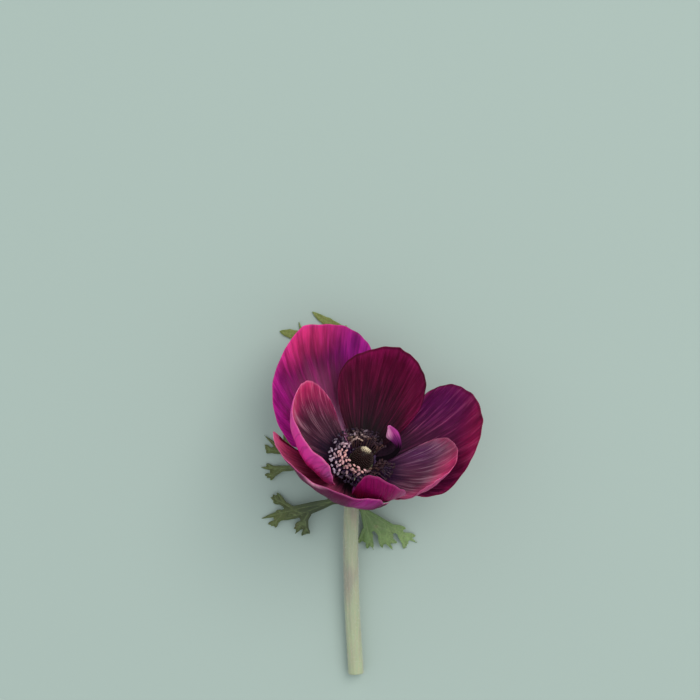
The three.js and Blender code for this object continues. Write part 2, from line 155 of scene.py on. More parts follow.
def alongLine(points, line, radii):
    # bends a straight model with its length on z from 0 to 1 and its round on x and y along a line
    steps = len(line) - 1
    share = np.clip(points[:, 2], 0, 1) * steps
    low = np.minimum(share.astype(int), steps - 1)
    part = (share - low)[:, None]
    ahead = np.gradient(line, axis=0)
    ahead /= np.linalg.norm(ahead, axis=1, keepdims=True)
    across = np.empty_like(line)
    anySide = (0.31, 0.23, 0.92)
    across[0] = unit(np.cross(ahead[0], anySide))
    for i in range(1, len(line)):
        across[i] = unit(across[i - 1] - ahead[i] * (across[i - 1] @ ahead[i]))
    beside = np.cross(ahead, across)

    def between(values):
        return values[low] * (1 - part) + values[low + 1] * part

    reach = between(np.asarray(radii, float)[:, None])
    return between(line) + (between(across) * points[:, :1] + between(beside) * points[:, 1:2]) * reach


def register(piece, node):
    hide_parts(node)
    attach(piece, "root")


def finishPiece(piece, node, material):
    piece.data.materials.clear()
    piece.data.materials.append(material)
    register(piece, node)


def tone(code):
    # hex colour as a renderer's linear values
    parts = [int(code[i : i + 2], 16) / 255 for i in (0, 2, 4)]
    return (*(c / 12.92 if c <= 0.04045 else ((c + 0.055) / 1.055) ** 2.4 for c in parts), 1)


def feed(tree, socket, value):
    # links another node's output to the socket, or sets a fixed value or a hex colour there
    if isinstance(value, bpy.types.NodeSocket):
        tree.links.new(value, socket)
    else:
        socket.default_value = tone(value) if isinstance(value, str) else value


def put(tree, kind, inputs=None, **settings):
    made = tree.nodes.new(kind)
    for name, value in settings.items():
        setattr(made, name, value)
    for name, value in (inputs or {}).items():
        feed(tree, made.inputs[name], value)
    return made


def setShader(tree, shader, **values):
    for name, value in values.items():
        feed(tree, shader.inputs[name.replace("_", " ")], value)


def maths(tree, operation, *values):
    return put(tree, "ShaderNodeMath", dict(enumerate(values)), operation=operation).outputs[0]


def plus(tree, first, second):
    return maths(tree, "ADD", first, second)


def minus(tree, first, second):
    return maths(tree, "SUBTRACT", first, second)


def times(tree, first, second):
    return maths(tree, "MULTIPLY", first, second)


def around(tree, value, strength):
    # a noise's distance from its middle, times the strength
    return times(tree, minus(tree, value, 0.5), strength)


def remap(tree, value, low, high, toLow=0.0, toHigh=1.0):
    inputs = {"Value": value, "From Min": low, "From Max": high, "To Min": toLow, "To Max": toHigh}
    return put(tree, "ShaderNodeMapRange", inputs, interpolation_type="SMOOTHSTEP").outputs[0]


def spread(tree, noise, toLow, toHigh):
    # the middle range of a noise, where nearly all of it lies
    return remap(tree, noise, 0.3, 0.7, toLow, toHigh)


def blendTones(tree, share, first, second, way="MIX"):
    inputs = {0: share, 6: first, 7: second}
    return put(tree, "ShaderNodeMix", inputs, data_type="RGBA", blend_type=way).outputs[2]


def toneRamp(tree, value, stops):
    made = put(tree, "ShaderNodeValToRGB", {"Fac": value})
    made.color_ramp.interpolation = "EASE"
    for i, (place, code) in enumerate(stops):
        element = made.color_ramp.elements[i] if i < 2 else made.color_ramp.elements.new(place)
        element.position, element.color = place, tone(code)
    return made.outputs["Color"]


def inObject(tree):
    return put(tree, "ShaderNodeTexCoord").outputs["Object"]


def markOf(tree, name):
    return put(tree, "ShaderNodeAttribute", attribute_name=name).outputs["Fac"]


def bladeUv(tree):
    uv = put(tree, "ShaderNodeUVMap").outputs[0]
    parts = put(tree, "ShaderNodeSeparateXYZ", {0: uv}).outputs
    return uv, parts[0], parts[1]


def stretched(tree, x, y, z):
    scaled = put(tree, "ShaderNodeMapping", {"Vector": inObject(tree), "Scale": (x, y, z)})
    return scaled.outputs[0]


def cloud(tree, vector, scale, detail=3.0, roughness=0.55):
    inputs = {"Vector": vector, "Scale": scale, "Detail": detail, "Roughness": roughness, "Distortion": 0.0}
    return put(tree, "ShaderNodeTexNoise", inputs).outputs[0]


def bumped(tree, height, strength, distance):
    inputs = {"Height": height, "Strength": strength, "Distance": distance * mm}
    return put(tree, "ShaderNodeBump", inputs).outputs[0]


def newMaterial(name):
    material = bpy.data.materials.new(name)
    material.use_nodes = True
    shader = material.node_tree.nodes["Principled BSDF"]
    return material, material.node_tree, shader


def newGroup(name, inputs, outputs):
    group = bpy.data.node_groups.new(name, "ShaderNodeTree")
    for label, kind, value in inputs:
        socket = group.interface.new_socket(label, in_out="INPUT", socket_type="NodeSocket" + kind)
        if value is not None:
            socket.default_value = value
    for label, kind in outputs:
        group.interface.new_socket(label, in_out="OUTPUT", socket_type="NodeSocket" + kind)
    return group, put(group, "NodeGroupInput").outputs, put(group, "NodeGroupOutput").inputs


# Camera, floor and light
studio = {
    "cameraPlace": (-3.93, 41.95, 650.0),  # from the bloom's centre
    "lens": 89.25,
    "sensor": 36,
    "clip": (0.01, 20),
    "floorSize": 6,
    "floorTone": "a2b2ab",
    "floorRoughness": 0.9,
    "fibres": 900,
    "skyTone": "eef4f6",
    "skyStrength": 0.92,
    "keyFrom": (0.42, 0.44, 0.79),
    "keyDistance": 3200.0,
    "keySize": 2430.0,
    "keyPower": 52.0,
    "keyColour": (1.0, 0.97, 0.93),
}


def buildStudio():
    bpy.ops.object.camera_add(location=bloomCentre + Vector(studio["cameraPlace"]) * mm, rotation=(0, 0, 0))
    camera = bpy.context.object
    camera.data.lens, camera.data.sensor_width = studio["lens"], studio["sensor"]
    camera.data.clip_start, camera.data.clip_end = studio["clip"]
    bpy.context.scene.camera = camera

    floor = addModel(bpy.ops.mesh.primitive_plane_add, size=studio["floorSize"])
    floor.name = "floor"
    material, tree, shader = newMaterial("palePaper")
    setShader(tree, shader, Base_Color=studio["floorTone"], Roughness=studio["floorRoughness"])
    setShader(tree, shader, Normal=bumped(tree, cloud(tree, inObject(tree), studio["fibres"], 4), 0.03, 0.2))
    floor.data.materials.append(material)

    toKey = Vector(studio["keyFrom"]).normalized()
    bpy.ops.object.light_add(type="AREA", location=bloomCentre + toKey * studio["keyDistance"] * mm)
    key = bpy.context.object
    key.rotation_euler = toKey.to_track_quat("Z", "Y").to_euler()
    key.data.shape, key.data.size, key.data.energy = "DISK", studio["keySize"] * mm, studio["keyPower"]
    key.data.color = studio["keyColour"]

    world = bpy.data.worlds.new("softRoom")
    world.use_nodes = True
    sky = world.node_tree.nodes["Background"]
    sky.inputs["Color"].default_value = tone(studio["skyTone"])
    sky.inputs["Strength"].default_value = studio["skyStrength"]
    bpy.context.scene.world = world
    print("studio done")


# Streaks and veins that fan out with a blade's own UV map: u across the blade, v from its foot to its rim.
# A noise has its cells across, its cells along and its depth.
veinShape = {
    "wander": (5.0, 3.0, 0.0),
    "sway": 0.05,
    "netAlong": 1.6,
    "netWidth": 0.11,
    "streaks": (1.7, 3.0),  # their cells across are an input of the group
    "fine": (90.0, 2.6, 7.0),
    "patches": (4.0, 3.2, 11.0),
}


def buildVeinGroup():
    inputs = [("UV", "Vector", None), ("Shift", "Float", 0.0)]
    inputs += [("Streaks", "Float", 30.0), ("Veins", "Float", 15.0)]
    masks = [(name, "Float") for name in ("Streaks", "Fine", "Veins", "Patches")]
    group, given, result = newGroup("petalVeins", inputs, masks)
    parts = put(group, "ShaderNodeSeparateXYZ", {0: given["UV"]}).outputs
    u, v = parts[0], parts[1]

    def vectorOf(x, y, z):
        return put(group, "ShaderNodeCombineXYZ", {0: x, 1: y, 2: z}).outputs[0]

    def fanned(across, along, depth):
        return vectorOf(times(group, u, across), times(group, v, along), plus(group, given["Shift"], depth))

    wander = cloud(group, fanned(*veinShape["wander"]), 1.0, 2)
    swayed = plus(group, u, around(group, wander, veinShape["sway"]))
    netU, netV = times(group, swayed, given["Veins"]), times(group, v, veinShape["netAlong"])
    lines = vectorOf(netU, netV, given["Shift"])
    cells = {"feature": "DISTANCE_TO_EDGE", "voronoi_dimensions": "3D"}
    net = put(group, "ShaderNodeTexVoronoi", {"Vector": lines, "Scale": 1.0}, **cells).outputs[0]
    outputs = {
        "Streaks": cloud(group, fanned(given["Streaks"], *veinShape["streaks"]), 1.0, 3, 0.6),
        "Fine": cloud(group, fanned(*veinShape["fine"]), 1.0, 3, 0.6),
        "Veins": remap(group, net, 0.0, veinShape["netWidth"], 1.0, 0.0),
        "Patches": cloud(group, fanned(*veinShape["patches"]), 1.0, 2, 0.5),
    }
    for name, value in outputs.items():
        group.links.new(value, result[name])
    return group


def useVeins(tree, group, uv, shift, streaks, veins):
    inputs = {"UV": uv, "Shift": shift, "Streaks": streaks, "Veins": veins}
    return put(tree, "ShaderNodeGroup", inputs, node_tree=group).outputs


# Petals: the blade of each follows the part's own rule, with finer waves, folds and rims
petalShape = {
    "footRadius": 5.15,
    "footHalfWidth": 2.4,
    "rimSweep": 118,
    "spread": 0.64,  # how far the blade widens, and how far it reaches, halfway along
    "reach": 0.44,
    "liftIn": 0.5,  # shares of a lift that go inwards and upwards
    "liftUp": 0.8,
    "tuck": 0.6,
    "bendSteps": 24,
    "cellsAcross": 112,
    "cellsAlong": 88,
    "thickness": 0.42,
    "rimShare": 0.4,
    "pointReach": 0.2,  # a bump of the rim that is no broader comes to a point
    "rimWaves": [(0.004, 19, 2), (0.003, 43, 1)],  # height, waves across, phase
    # soft folds from the foot, creases and puckers towards the rim: height, waves across, sway, its waves
    # along, waves along, phase, and where they begin and are full
    "folds": [
        (0.22, 17, 1.2, 3, 0, 1, 0.15, 0.7),
        (0.12, 41, 2, 5, 0, 0, 0.3, 0.9),
        (0.14, 23, 0, 0, 21, 1, 0.6, 1.0),
    ],
}
hiddenOutside = ("b8b890", "9a6a7c", "98406e", "a82c70")  # of petals that are seen from inside only
# Angles are in degrees. "rim" has bumps: place across, height and breadth. "inside" and "outside" have the
# tones from foot to rim, partly painted light: darker on petals turned away from the key light, lighter on
# lit ones. spots have a tone, a place across and along, and their half sizes; most are painted
# glows where light shines through, lit rims and shaded patches. "edge" paints a rim highlight on the lit
# petals and a dark rim on petal_back and petal_right.
petals = [
    {
        # painted light: pink glows at the top and sides where light shines through
        "node": "petal_back_left", "seed": 1, "azimuth": 137.5, "attach": -2.6, "length": 55, "width": 46.5,
        "rise": (-2, 74), "fold": 0, "slant": -2, "skew": 0, "widest": (0.45, 0.58), "cup": (0, 0),
        "wave": 0.7, "rim": [(-0.05, 2.6, 0.12), (-0.36, -2.4, 0.2), (0.5, 0.8, 0.2)],
        "inside": ("d08cb8", "8c3c68", "600c40", "a81c74"),
        "spots": [
            ("d42cb4", 0.06, 0.8, 0.3, 0.5), ("b828ac", 0.88, 0.86, 0.3, 0.42),
            ("ec3c80", 0.49, 0.97, 0.18, 0.22),
        ],
        "streaks": ("c4288c", 0.28), "edge": ("c83890", 0.3),
        "outside": hiddenOutside, "outsidePaintedLightSpots": [],
    },
    {
        # painted shade: very dark tones, as this petal faces away from the key light, with a lit red right
        # side
        "node": "petal_back", "seed": 2, "azimuth": 90, "attach": -1.3, "length": 44.5, "width": 34,
        "rise": (6, 80), "fold": 0, "slant": 0, "skew": 0.1, "widest": (0.58, 0.58), "cup": (0.6, 0.6),
        "wave": 0.6, "rim": [(0, 1.4, 0.12), (-0.36, -1.2, 0.2)],
        "inside": ("12040c", "34061e", "680c38", "941456"),
        "spots": [("470d26", 0.15, 0.8, 0.2, 0.4), ("600c34", 0.75, 0.9, 0.2, 0.4)],
        "streaks": ("8a2050", 0.3), "edge": ("2c0810", 0.6),
        "outside": hiddenOutside, "outsidePaintedLightSpots": [],
    },
    {
        # painted shade on its unlit inside, and a painted red glow at its right edge
        "node": "petal_right", "seed": 3, "azimuth": 24.5, "attach": -2.6, "length": 50, "width": 43.5,
        "rise": (0, 79), "fold": 10, "slant": -3, "skew": 0.05, "widest": (0.58, 0.58), "cup": (0, 0),
        "wave": 0.7, "rim": [(-0.95, 4, 0.2), (-0.02, 1.0, 0.09), (-0.5, -0.6, 0.14)],
        "inside": ("240a20", "461234", "70144a", "9c1a5a"),
        "spots": [("5e1058", 0.2, 0.85, 0.25, 0.4), ("a81c50", 0.55, 0.95, 0.18, 0.25)],
        "streaks": ("bc5c88", 0.34), "edge": ("4c0c28", 0.5),
        "outside": hiddenOutside, "outsidePaintedLightSpots": [],
    },
    {
        # painted sheen: greyish mauve tones and pale streaks; painted light: pink spots along its lit lower
        # rim
        "node": "petal_right_inner", "seed": 4, "azimuth": -13, "attach": -1.6, "length": 41.6, "width": 32,
        "rise": (7, 87), "fold": 8, "slant": 1.5, "skew": 0.2, "widest": (0.58, 0.58), "cup": (0.4, 2),
        "wave": 0.5, "rim": [(0.3, -0.3, 0.1)],
        "inside": ("2a1030", "603048", "905870", "a8486c"),
        "spots": [
            ("58285c", 0.1, 0.6, 0.3, 0.4), ("f0307c", 0.47, 0.93, 0.2, 0.3),
            ("f04488", 0.66, 0.86, 0.24, 0.34),
            ("e85090", 0.88, 0.78, 0.24, 0.3), ("2c0414", 0.87, 1.03, 0.26, 0.18),
        ],
        "streaks": ("c09cac", 0.45), "edge": ("d890b0", 0.15),
        "outside": ("b8b890", "9a6a7c", "a8406e", "b03c70"), "outsidePaintedLightSpots": [],
    },
    {
        # painted highlight: a pink band at its rim and a pale spot on its outside
        "node": "petal_front", "seed": 5, "azimuth": -64, "attach": -0.65, "length": 42.5, "width": 20,
        "rise": (11, 108), "fold": 10, "slant": 3, "skew": 0, "widest": (0.58, 0.58), "cup": (2.2, 2),
        "wave": 0.5, "rim": [(0.0, -0.3, 0.1)],
        "inside": ("2e0f3a", "5e1450", "a01c6c", "b02870"),
        "spots": [("9a1870", 0.2, 0.8, 0.3, 0.4), ("d04c88", 0.5, 1.0, 0.3, 0.08)],
        "streaks": ("c04c90", 0.3), "edge": ("b85890", 0.2),
        "outside": ("b8b890", "5a0438", "74003e", "80064e"),
        "outsidePaintedLightSpots": [("b06890", 0.12, 0.9, 0.3, 0.3)],
    },
    {
        # painted light: a lit pink band on its inside and a pink highlight on its outside rim
        "node": "petal_front_left", "seed": 6, "azimuth": -123.5, "attach": -2.6, "length": 38, "width": 49.5,
        "rise": (6, 80), "fold": -18, "slant": 0, "skew": 0.06, "widest": (0.58, 0.82), "cup": (0, 0),
        "wave": 0.6, "rim": [(-0.42, 1.2, 0.2), (-0.72, -1.5, 0.1), (-1, 3.6, 0.16), (0.6, 0.8, 0.06)],
        "inside": ("12060e", "98385c", "d87098", "e880a8"),
        "spots": [("d04c80", 0.92, 0.75, 0.34, 0.5), ("b83078", 0.35, 1.0, 0.3, 0.1)],
        "streaks": ("c86890", 0.3), "edge": ("d870a8", 0.25),
        "outside": ("b8b890", "4c183c", "460a30", "5c103c"),
        "outsidePaintedLightSpots": [
            ("7a1834", 0.88, 0.8, 0.26, 0.5), ("b0288c", 0.24, 1.0, 0.1, 0.4),
            ("38081c", 0.0, 1.0, 0.24, 0.6), ("f0a0bc", 0.47, 1.0, 0.05, 0.08),
        ],
    },
    {
        # painted light: a hot pink glow along its top rim where light shines through
        "node": "petal_left_inner", "seed": 7, "azimuth": 175.5, "attach": -0.6, "length": 42.5, "width": 47,
        "rise": (5, 92), "fold": -4, "slant": -3, "skew": 0.36, "widest": (0.4, 0.58), "cup": (7.5, 0.6),
        "wave": 0.5, "rim": [(0.25, -0.3, 0.1), (-0.05, 1.4, 0.25)],
        "inside": ("1a0820", "4c2438", "942c5a", "d84484"),
        "spots": [
            ("d42c80", 0.12, 0.88, 0.27, 0.55), ("f0307c", 0.34, 0.97, 0.22, 0.36),
            ("f0387a", 0.5, 1.0, 0.42, 0.28),
        ],
        "streaks": ("c494a4", 0.45), "edge": ("e890b8", 0.3),
        "outside": ("b8b890", "b03884", "dc2c98", "e03c9c"),
        "outsidePaintedLightSpots": [("8c5084", 0.0, 1.0, 0.25, 0.5)],
    },
]
insideLook = {
    "streaks": 34.0, "veins": 17.0, "shiftPerSeed": 9.0, "push": 0.44, "toneStops": (0.18, 0.48, 0.84, 1.0),
    "veinTone": "2c0a22", "veinShare": 0.14, "edgeFrom": 0.965, "bump": 0.55, "bumpDepth": 0.6,
    "sheenTone": "e060b0",
}
outsideLook = {
    "streaks": 40.0, "veins": 20.0, "shiftPerSeed": 4.0, "push": 0.3, "toneStops": (0.02, 0.2, 0.55, 1.0),
    "veinTone": "4c0c38", "veinShare": 0.25, "edgeFrom": 0.975, "bump": 0.5, "bumpDepth": 0.6,
    "fineTone": "d060a8", "fineShare": 0.05, "sheenTone": "f0a0d0",
}
velvet = {"grain": 2600, "edgeFull": 0.99, "subsurface": 0.25, "subsurfaceDepth": 0.8}


def petalProfile(petal, arc, lastRise):
    # radius and height at a length of the blade, which curls up steadily from its foot
    steps = petalShape["bendSteps"]
    firstRise = petal["rise"][0]
    radius = np.full_like(arc, petalShape["footRadius"])
    height = np.full_like(arc, petal["attach"])
    for i in range(steps):
        share = np.maximum(0, arc * (i + 0.5) / steps / petal["length"])
        slope = np.radians(firstRise + (lastRise - firstRise) * share)
        radius += np.cos(slope) * arc / steps
        height += np.sin(slope) * arc / steps
    return radius, height


def rimGrowth(petal, across):
    grown = np.ones_like(across)
    for place, size, breadth in petal["rim"]:
        gap = np.abs(across - place) / breadth
        pointed = size > 0 and breadth <= petalShape["pointReach"]
        grown += size / petal["length"] * (np.exp(-gap * 1.4) if pointed else np.exp(-gap * gap))
    for height, waves, phase in petalShape["rimWaves"]:
        grown += height * np.sin(across * waves + petal["seed"] * phase)
    return grown


def petalPoints(petal, across, along):
    length, foot = petal["length"], petalShape["footRadius"]
    left = across < 0
    halfWidth = petal["width"] / 2 * (1 - petal["skew"] * np.sign(across))
    widest = length * np.where(left, *petal["widest"])
    sweep = across * math.radians(petalShape["rimSweep"])
    grown = rimGrowth(petal, across)
    rimX = halfWidth * np.sin(sweep) * grown
    rimY = (widest + (length - widest) * np.cos(sweep) + petal["slant"] * np.sin(sweep)) * grown
    # a curve from the foot to the rim, through a point pulled halfway
    footX = across * petalShape["footHalfWidth"]
    pull = 2 * along * (1 - along)
    x = footX * (1 - along) ** 2 + pull * (footX + (rimX - footX) * petalShape["spread"]) + rimX * along**2
    y = pull * rimY * petalShape["reach"] + rimY * along**2
    distance = np.hypot(x, y + foot)
    side = x / halfWidth
    radius, height = petalProfile(petal, distance - foot, petal["rise"][1] + petal["fold"] * side)
    azimuth = math.radians(petal["azimuth"]) - np.arctan2(x, y + foot) * (distance / radius)
    lift = np.where(left, *petal["cup"]) * side**2
    lift += petal["wave"] * np.sin(across * 7 + petal["azimuth"]) * along**4
    phase = petal["seed"] * 1.7
    for fold, waves, sway, swayWaves, wavesAlong, phaseShare, begin, full in petalShape["folds"]:
        bend = sway * np.sin(along * swayWaves + phase) + along * wavesAlong + phase * phaseShare
        lift += fold * np.sin(across * waves + bend) * smoothStep(begin, full, along)
    tucked = petalShape["tuck"] * (1 - smoothStep(0.0, 0.06, along))
    radius = radius - lift * petalShape["liftIn"] - tucked
    height = height + lift * petalShape["liftUp"]
    return np.stack([radius * np.cos(azimuth), radius * np.sin(azimuth), height], axis=1)


def addLightSpot(tree, colour, u, v, spot, streaks):
    # a soft round patch on a petal's UV map, broken up by the streaks; it paints a glow, a lit rim or a
    # shaded patch
    code, atU, atV, sizeU, sizeV = spot
    left = maths(tree, "DIVIDE", minus(tree, u, atU), sizeU)
    up = maths(tree, "DIVIDE", minus(tree, v, atV), sizeV)
    away = maths(tree, "SQRT", plus(tree, times(tree, left, left), times(tree, up, up)))
    mask = remap(tree, away, 0.15, 1.25, 0.9, 0.0)
    share = times(tree, mask, spread(tree, streaks, 0.62, 0.96))
    return blendTones(tree, share, colour, code)


def petalTones(tree, petal, look, tones, spots, uv, u, v, veinGroup):
    # tones from foot to rim, moved about by the streaks, with spots of painted light and dark veins
    shift = petal["seed"] * look["shiftPerSeed"]
    veins = useVeins(tree, veinGroup, uv, shift, look["streaks"], look["veins"])
    place = plus(tree, v, around(tree, veins["Streaks"], look["push"]))
    colour = toneRamp(tree, place, list(zip(look["toneStops"], tones)))
    for spot in spots:
        colour = addLightSpot(tree, colour, u, v, spot, veins["Streaks"])
    colour = blendTones(tree, times(tree, veins["Veins"], look["veinShare"]), colour, look["veinTone"])
    return veins, colour


def addPaintedRim(tree, colour, petal, look, v):
    # paints a rim highlight on the lit petals and a dark rim on petal_back and petal_right
    code, strength = petal["edge"]
    share = times(tree, remap(tree, v, look["edgeFrom"], velvet["edgeFull"]), strength)
    return blendTones(tree, share, colour, code)


def setVelvet(tree, shader, look, relief, **values):
    bump = bumped(tree, relief, look["bump"], look["bumpDepth"])
    setShader(tree, shader, Normal=bump, Subsurface_Weight=velvet["subsurface"], **values)
    setShader(tree, shader, Subsurface_Scale=velvet["subsurfaceDepth"] * mm, Sheen_Tint=look["sheenTone"])


def petalInside(petal, veinGroup):
    material, tree, shader = newMaterial(petal["node"] + "_inside")
    uv, u, v = bladeUv(tree)
    veins, colour = petalTones(tree, petal, insideLook, petal["inside"], petal["spots"], uv, u, v, veinGroup)
    streaks, fine = veins["Streaks"], veins["Fine"]
    code, strength = petal["streaks"]
    soft = plus(tree, times(tree, fine, 0.6), times(tree, streaks, 0.4))
    light = times(tree, times(tree, remap(tree, soft, 0.49, 0.66), strength), remap(tree, v, 0.2, 0.5))
    colour = blendTones(tree, light, colour, code)
    colour = addPaintedRim(tree, colour, petal, insideLook, v)
    # uneven all over: broad patches, streaks and fine lines
    lines = times(tree, spread(tree, streaks, 0.86, 1.1), spread(tree, fine, 0.86, 1.1))
    uneven = times(tree, spread(tree, veins["Patches"], 0.8, 1.1), lines)
    grey = put(tree, "ShaderNodeCombineColor", {0: uneven, 1: uneven, 2: uneven}).outputs[0]
    colour = blendTones(tree, 1.0, colour, grey, "MULTIPLY")
    relief = plus(tree, streaks, times(tree, fine, 0.35))
    relief = minus(tree, relief, times(tree, veins["Veins"], 0.35))
    relief = plus(tree, relief, times(tree, cloud(tree, inObject(tree), velvet["grain"], 2), 0.12))
    setVelvet(tree, shader, insideLook, relief, Base_Color=colour, Roughness=spread(tree, fine, 0.46, 0.64))
    setShader(tree, shader, Subsurface_Radius=(1.0, 0.25, 0.5), Specular_IOR_Level=0.12)
    setShader(tree, shader, Sheen_Weight=0.02, Sheen_Roughness=0.4)
    return material


def petalOutside(petal, veinGroup):
    material, tree, shader = newMaterial(petal["node"] + "_outside")
    uv, u, v = bladeUv(tree)
    tones, spots = petal["outside"], petal["outsidePaintedLightSpots"]
    veins, colour = petalTones(tree, petal, outsideLook, tones, spots, uv, u, v, veinGroup)
    fine = veins["Fine"]
    share = times(tree, remap(tree, fine, 0.5, 0.8), outsideLook["fineShare"])
    colour = blendTones(tree, share, colour, outsideLook["fineTone"])
    colour = addPaintedRim(tree, colour, petal, outsideLook, v)
    relief = plus(tree, veins["Streaks"], times(tree, veins["Veins"], 0.5))
    grain = cloud(tree, inObject(tree), velvet["grain"], 2)
    relief = plus(tree, relief, times(tree, plus(tree, grain, fine), 0.2))
    setVelvet(tree, shader, outsideLook, relief, Base_Color=colour, Roughness=spread(tree, fine, 0.4, 0.55))
    setShader(tree, shader, Subsurface_Radius=(1.0, 0.3, 0.5), Specular_IOR_Level=0.05)
    setShader(tree, shader, Sheen_Weight=0.015, Sheen_Roughness=0.35)
    return material


def bladeGrid(name, cellsAcross, cellsAlong):
    # a flat sheet to shape, with its values across from -1 to 1 and along from 0 to 1
    grid = bpy.ops.mesh.primitive_grid_add
    piece = addModel(grid, x_subdivisions=cellsAcross, y_subdivisions=cellsAlong, size=2)
    piece.name = name
    points = pointsOf(piece.data)
    return piece, points[:, 0], (points[:, 1] + 1) / 2


weightLevels = 20


def thicken(piece, thickness, weights, rimShare, outsideSlot):
    # solid blade that thins out where the weights are low
    group = piece.vertex_groups.new(name="thick")
    levels = np.round(weights * weightLevels).astype(int)
    for level in np.unique(levels):
        group.add(np.flatnonzero(levels == level).tolist(), level / weightLevels, "REPLACE")
    only(piece)
    bpy.ops.object.modifier_add(type="SOLIDIFY")
    solidify = piece.modifiers[-1]
    solidify.thickness, solidify.offset = thickness * mm, 0
    solidify.vertex_group, solidify.thickness_vertex_group = "thick", rimShare
    solidify.material_offset = outsideSlot
    bpy.ops.object.modifier_apply(modifier=solidify.name)
    piece.vertex_groups.clear()
    bpy.ops.object.shade_smooth()


def pieceName(node):
    first, *others = node.split("_")
    return first + "".join(word.capitalize() for word in others)


def buildPetals(veinGroup):
    for petal in petals:
        cells = petalShape["cellsAcross"], petalShape["cellsAlong"]
        piece, across, along = bladeGrid(pieceName(petal["node"]), *cells)
        setPoints(piece.data, inBloom(petalPoints(petal, across, along)))
        piece.data.materials.append(petalInside(petal, veinGroup))
        piece.data.materials.append(petalOutside(petal, veinGroup))
        inner = smoothStep(0, 0.06, 1 - along) * smoothStep(0, 0.08, 1 - np.abs(across))
        thicken(piece, petalShape["thickness"], inner, petalShape["rimShare"], 1)
        register(piece, petal["node"])
    print("petals done")


# Small petal-like blade among the stamens: values down its middle line, from the foot to the tip
petaloid = {
    "radius": (5.6, 9.6, 14.5, 13.7, 13.2),
    "azimuth": (20, 24, 37, 55.5, 66),
    "height": (2.2, 2.9, 4.1, 7.7, 11.4),
    "half": (1.2, 1.0, 1.0, 2.6, 0.5),
    "twist": (5, 20, 55, 75, 80),
    "curl": 0.5,
    "ripple": 0.12,
    "cells": (24, 60),
    "thickness": 0.4,
    "rimShare": 0.4,
    # near black at the foot, painted shade among the stamens; spot is a painted pale pink highlight
    "tones": [(0.5, "0a040a"), (0.66, "681a60"), (0.8, "b83c98"), (1.0, "e070bc")],
    "spot": ("fcc4e0", 0.12, 0.84, 0.45, 0.18),
    "shift": 70.0, "streaks": 9.0, "veins": 6.0,
    "veinTone": "80206c",
}


def smoothValue(values, along):
    # Catmull-Rom through evenly spaced values
    values = np.array(values, float)
    last = len(values) - 1
    low = np.clip((along * last).astype(int), 0, last - 1)
    share = along * last - low
    a, b, c, d = (values[np.clip(low + k, 0, last)] for k in (-1, 0, 1, 2))
    return b + share * (c - a + share * (2 * a - 5 * b + 4 * c - d + share * (3 * b - a - 3 * c + d))) / 2


def petaloidMaterial(veinGroup):
    material, tree, shader = newMaterial("petaloid_violet")
    uv, u, v = bladeUv(tree)
    veins = useVeins(tree, veinGroup, uv, petaloid["shift"], petaloid["streaks"], petaloid["veins"])
    colour = toneRamp(tree, plus(tree, v, around(tree, veins["Streaks"], 0.4)), petaloid["tones"])
    colour = addLightSpot(tree, colour, u, v, petaloid["spot"], veins["Streaks"])
    share = times(tree, veins["Veins"], remap(tree, v, 0.5, 0.8, 0.0, 0.35))
    colour = blendTones(tree, share, colour, petaloid["veinTone"])
    setShader(tree, shader, Base_Color=colour, Roughness=0.5, Normal=bumped(tree, veins["Streaks"], 0.4, 0.3))
    setShader(tree, shader, Subsurface_Weight=0.2, Subsurface_Scale=0.6 * mm)
    shine = remap(tree, v, 0.5, 0.8, 0.02, 0.35)
    setShader(tree, shader, Subsurface_Radius=(1.0, 0.4, 0.8), Specular_IOR_Level=shine)
    return material


def buildPetaloid(veinGroup):
    piece, across, along = bladeGrid("petaloidBlade", *petaloid["cells"])
    lines = (smoothValue(petaloid[key], along) for key in ("radius", "azimuth", "height", "half", "twist"))
    radius, azimuth, height, half, twist = lines
    turn, twist = np.radians(azimuth), np.radians(twist)
    outward = radius + across * half * np.sin(twist)
    outward += petaloid["ripple"] * np.sin(across * 7 + along * 9) * along
    sideways = across * half * np.cos(twist) + petaloid["curl"] * across**2 * along
    x = outward * np.cos(turn) + sideways * np.sin(turn)
    y = outward * np.sin(turn) - sideways * np.cos(turn)
    setPoints(piece.data, inBloom(np.stack([x, y, height], axis=1)))
    piece.data.materials.append(petaloidMaterial(veinGroup))
    inner = smoothStep(0, 0.2, 1 - np.abs(across))
    thicken(piece, petaloid["thickness"], inner, petaloid["rimShare"], 0)
    register(piece, "petaloid")
    print("petaloid done")


# Ovary: a dome packed with small pointed carpels
ovary = {
    "radius": 3.95,
    "height": 7.6,
    "bottom": 0.75,
    "carpels": 300,
    "cover": 0.9588,  # share of the way from the dome's top to its foot
    "carpelRadius": 0.3,
    "carpelHeight": 0.75,
    "carpelSides": 7,
    "carpelTop": 0.28,
    "carpelBulge": 0.35,
    "sunk": 0.12,
    "upwards": 0.35,
    # painted highlight: cream tips on the carpels near the top of the dome
    "highlightAt": (0.3, 1.5),  # the cream carpels are near the top
    "highlightReach": 2.0,
    "tones": {"dark": ("100606", "2e1412"), "tips": "3c2822", "cream": "fff2cc"},
}


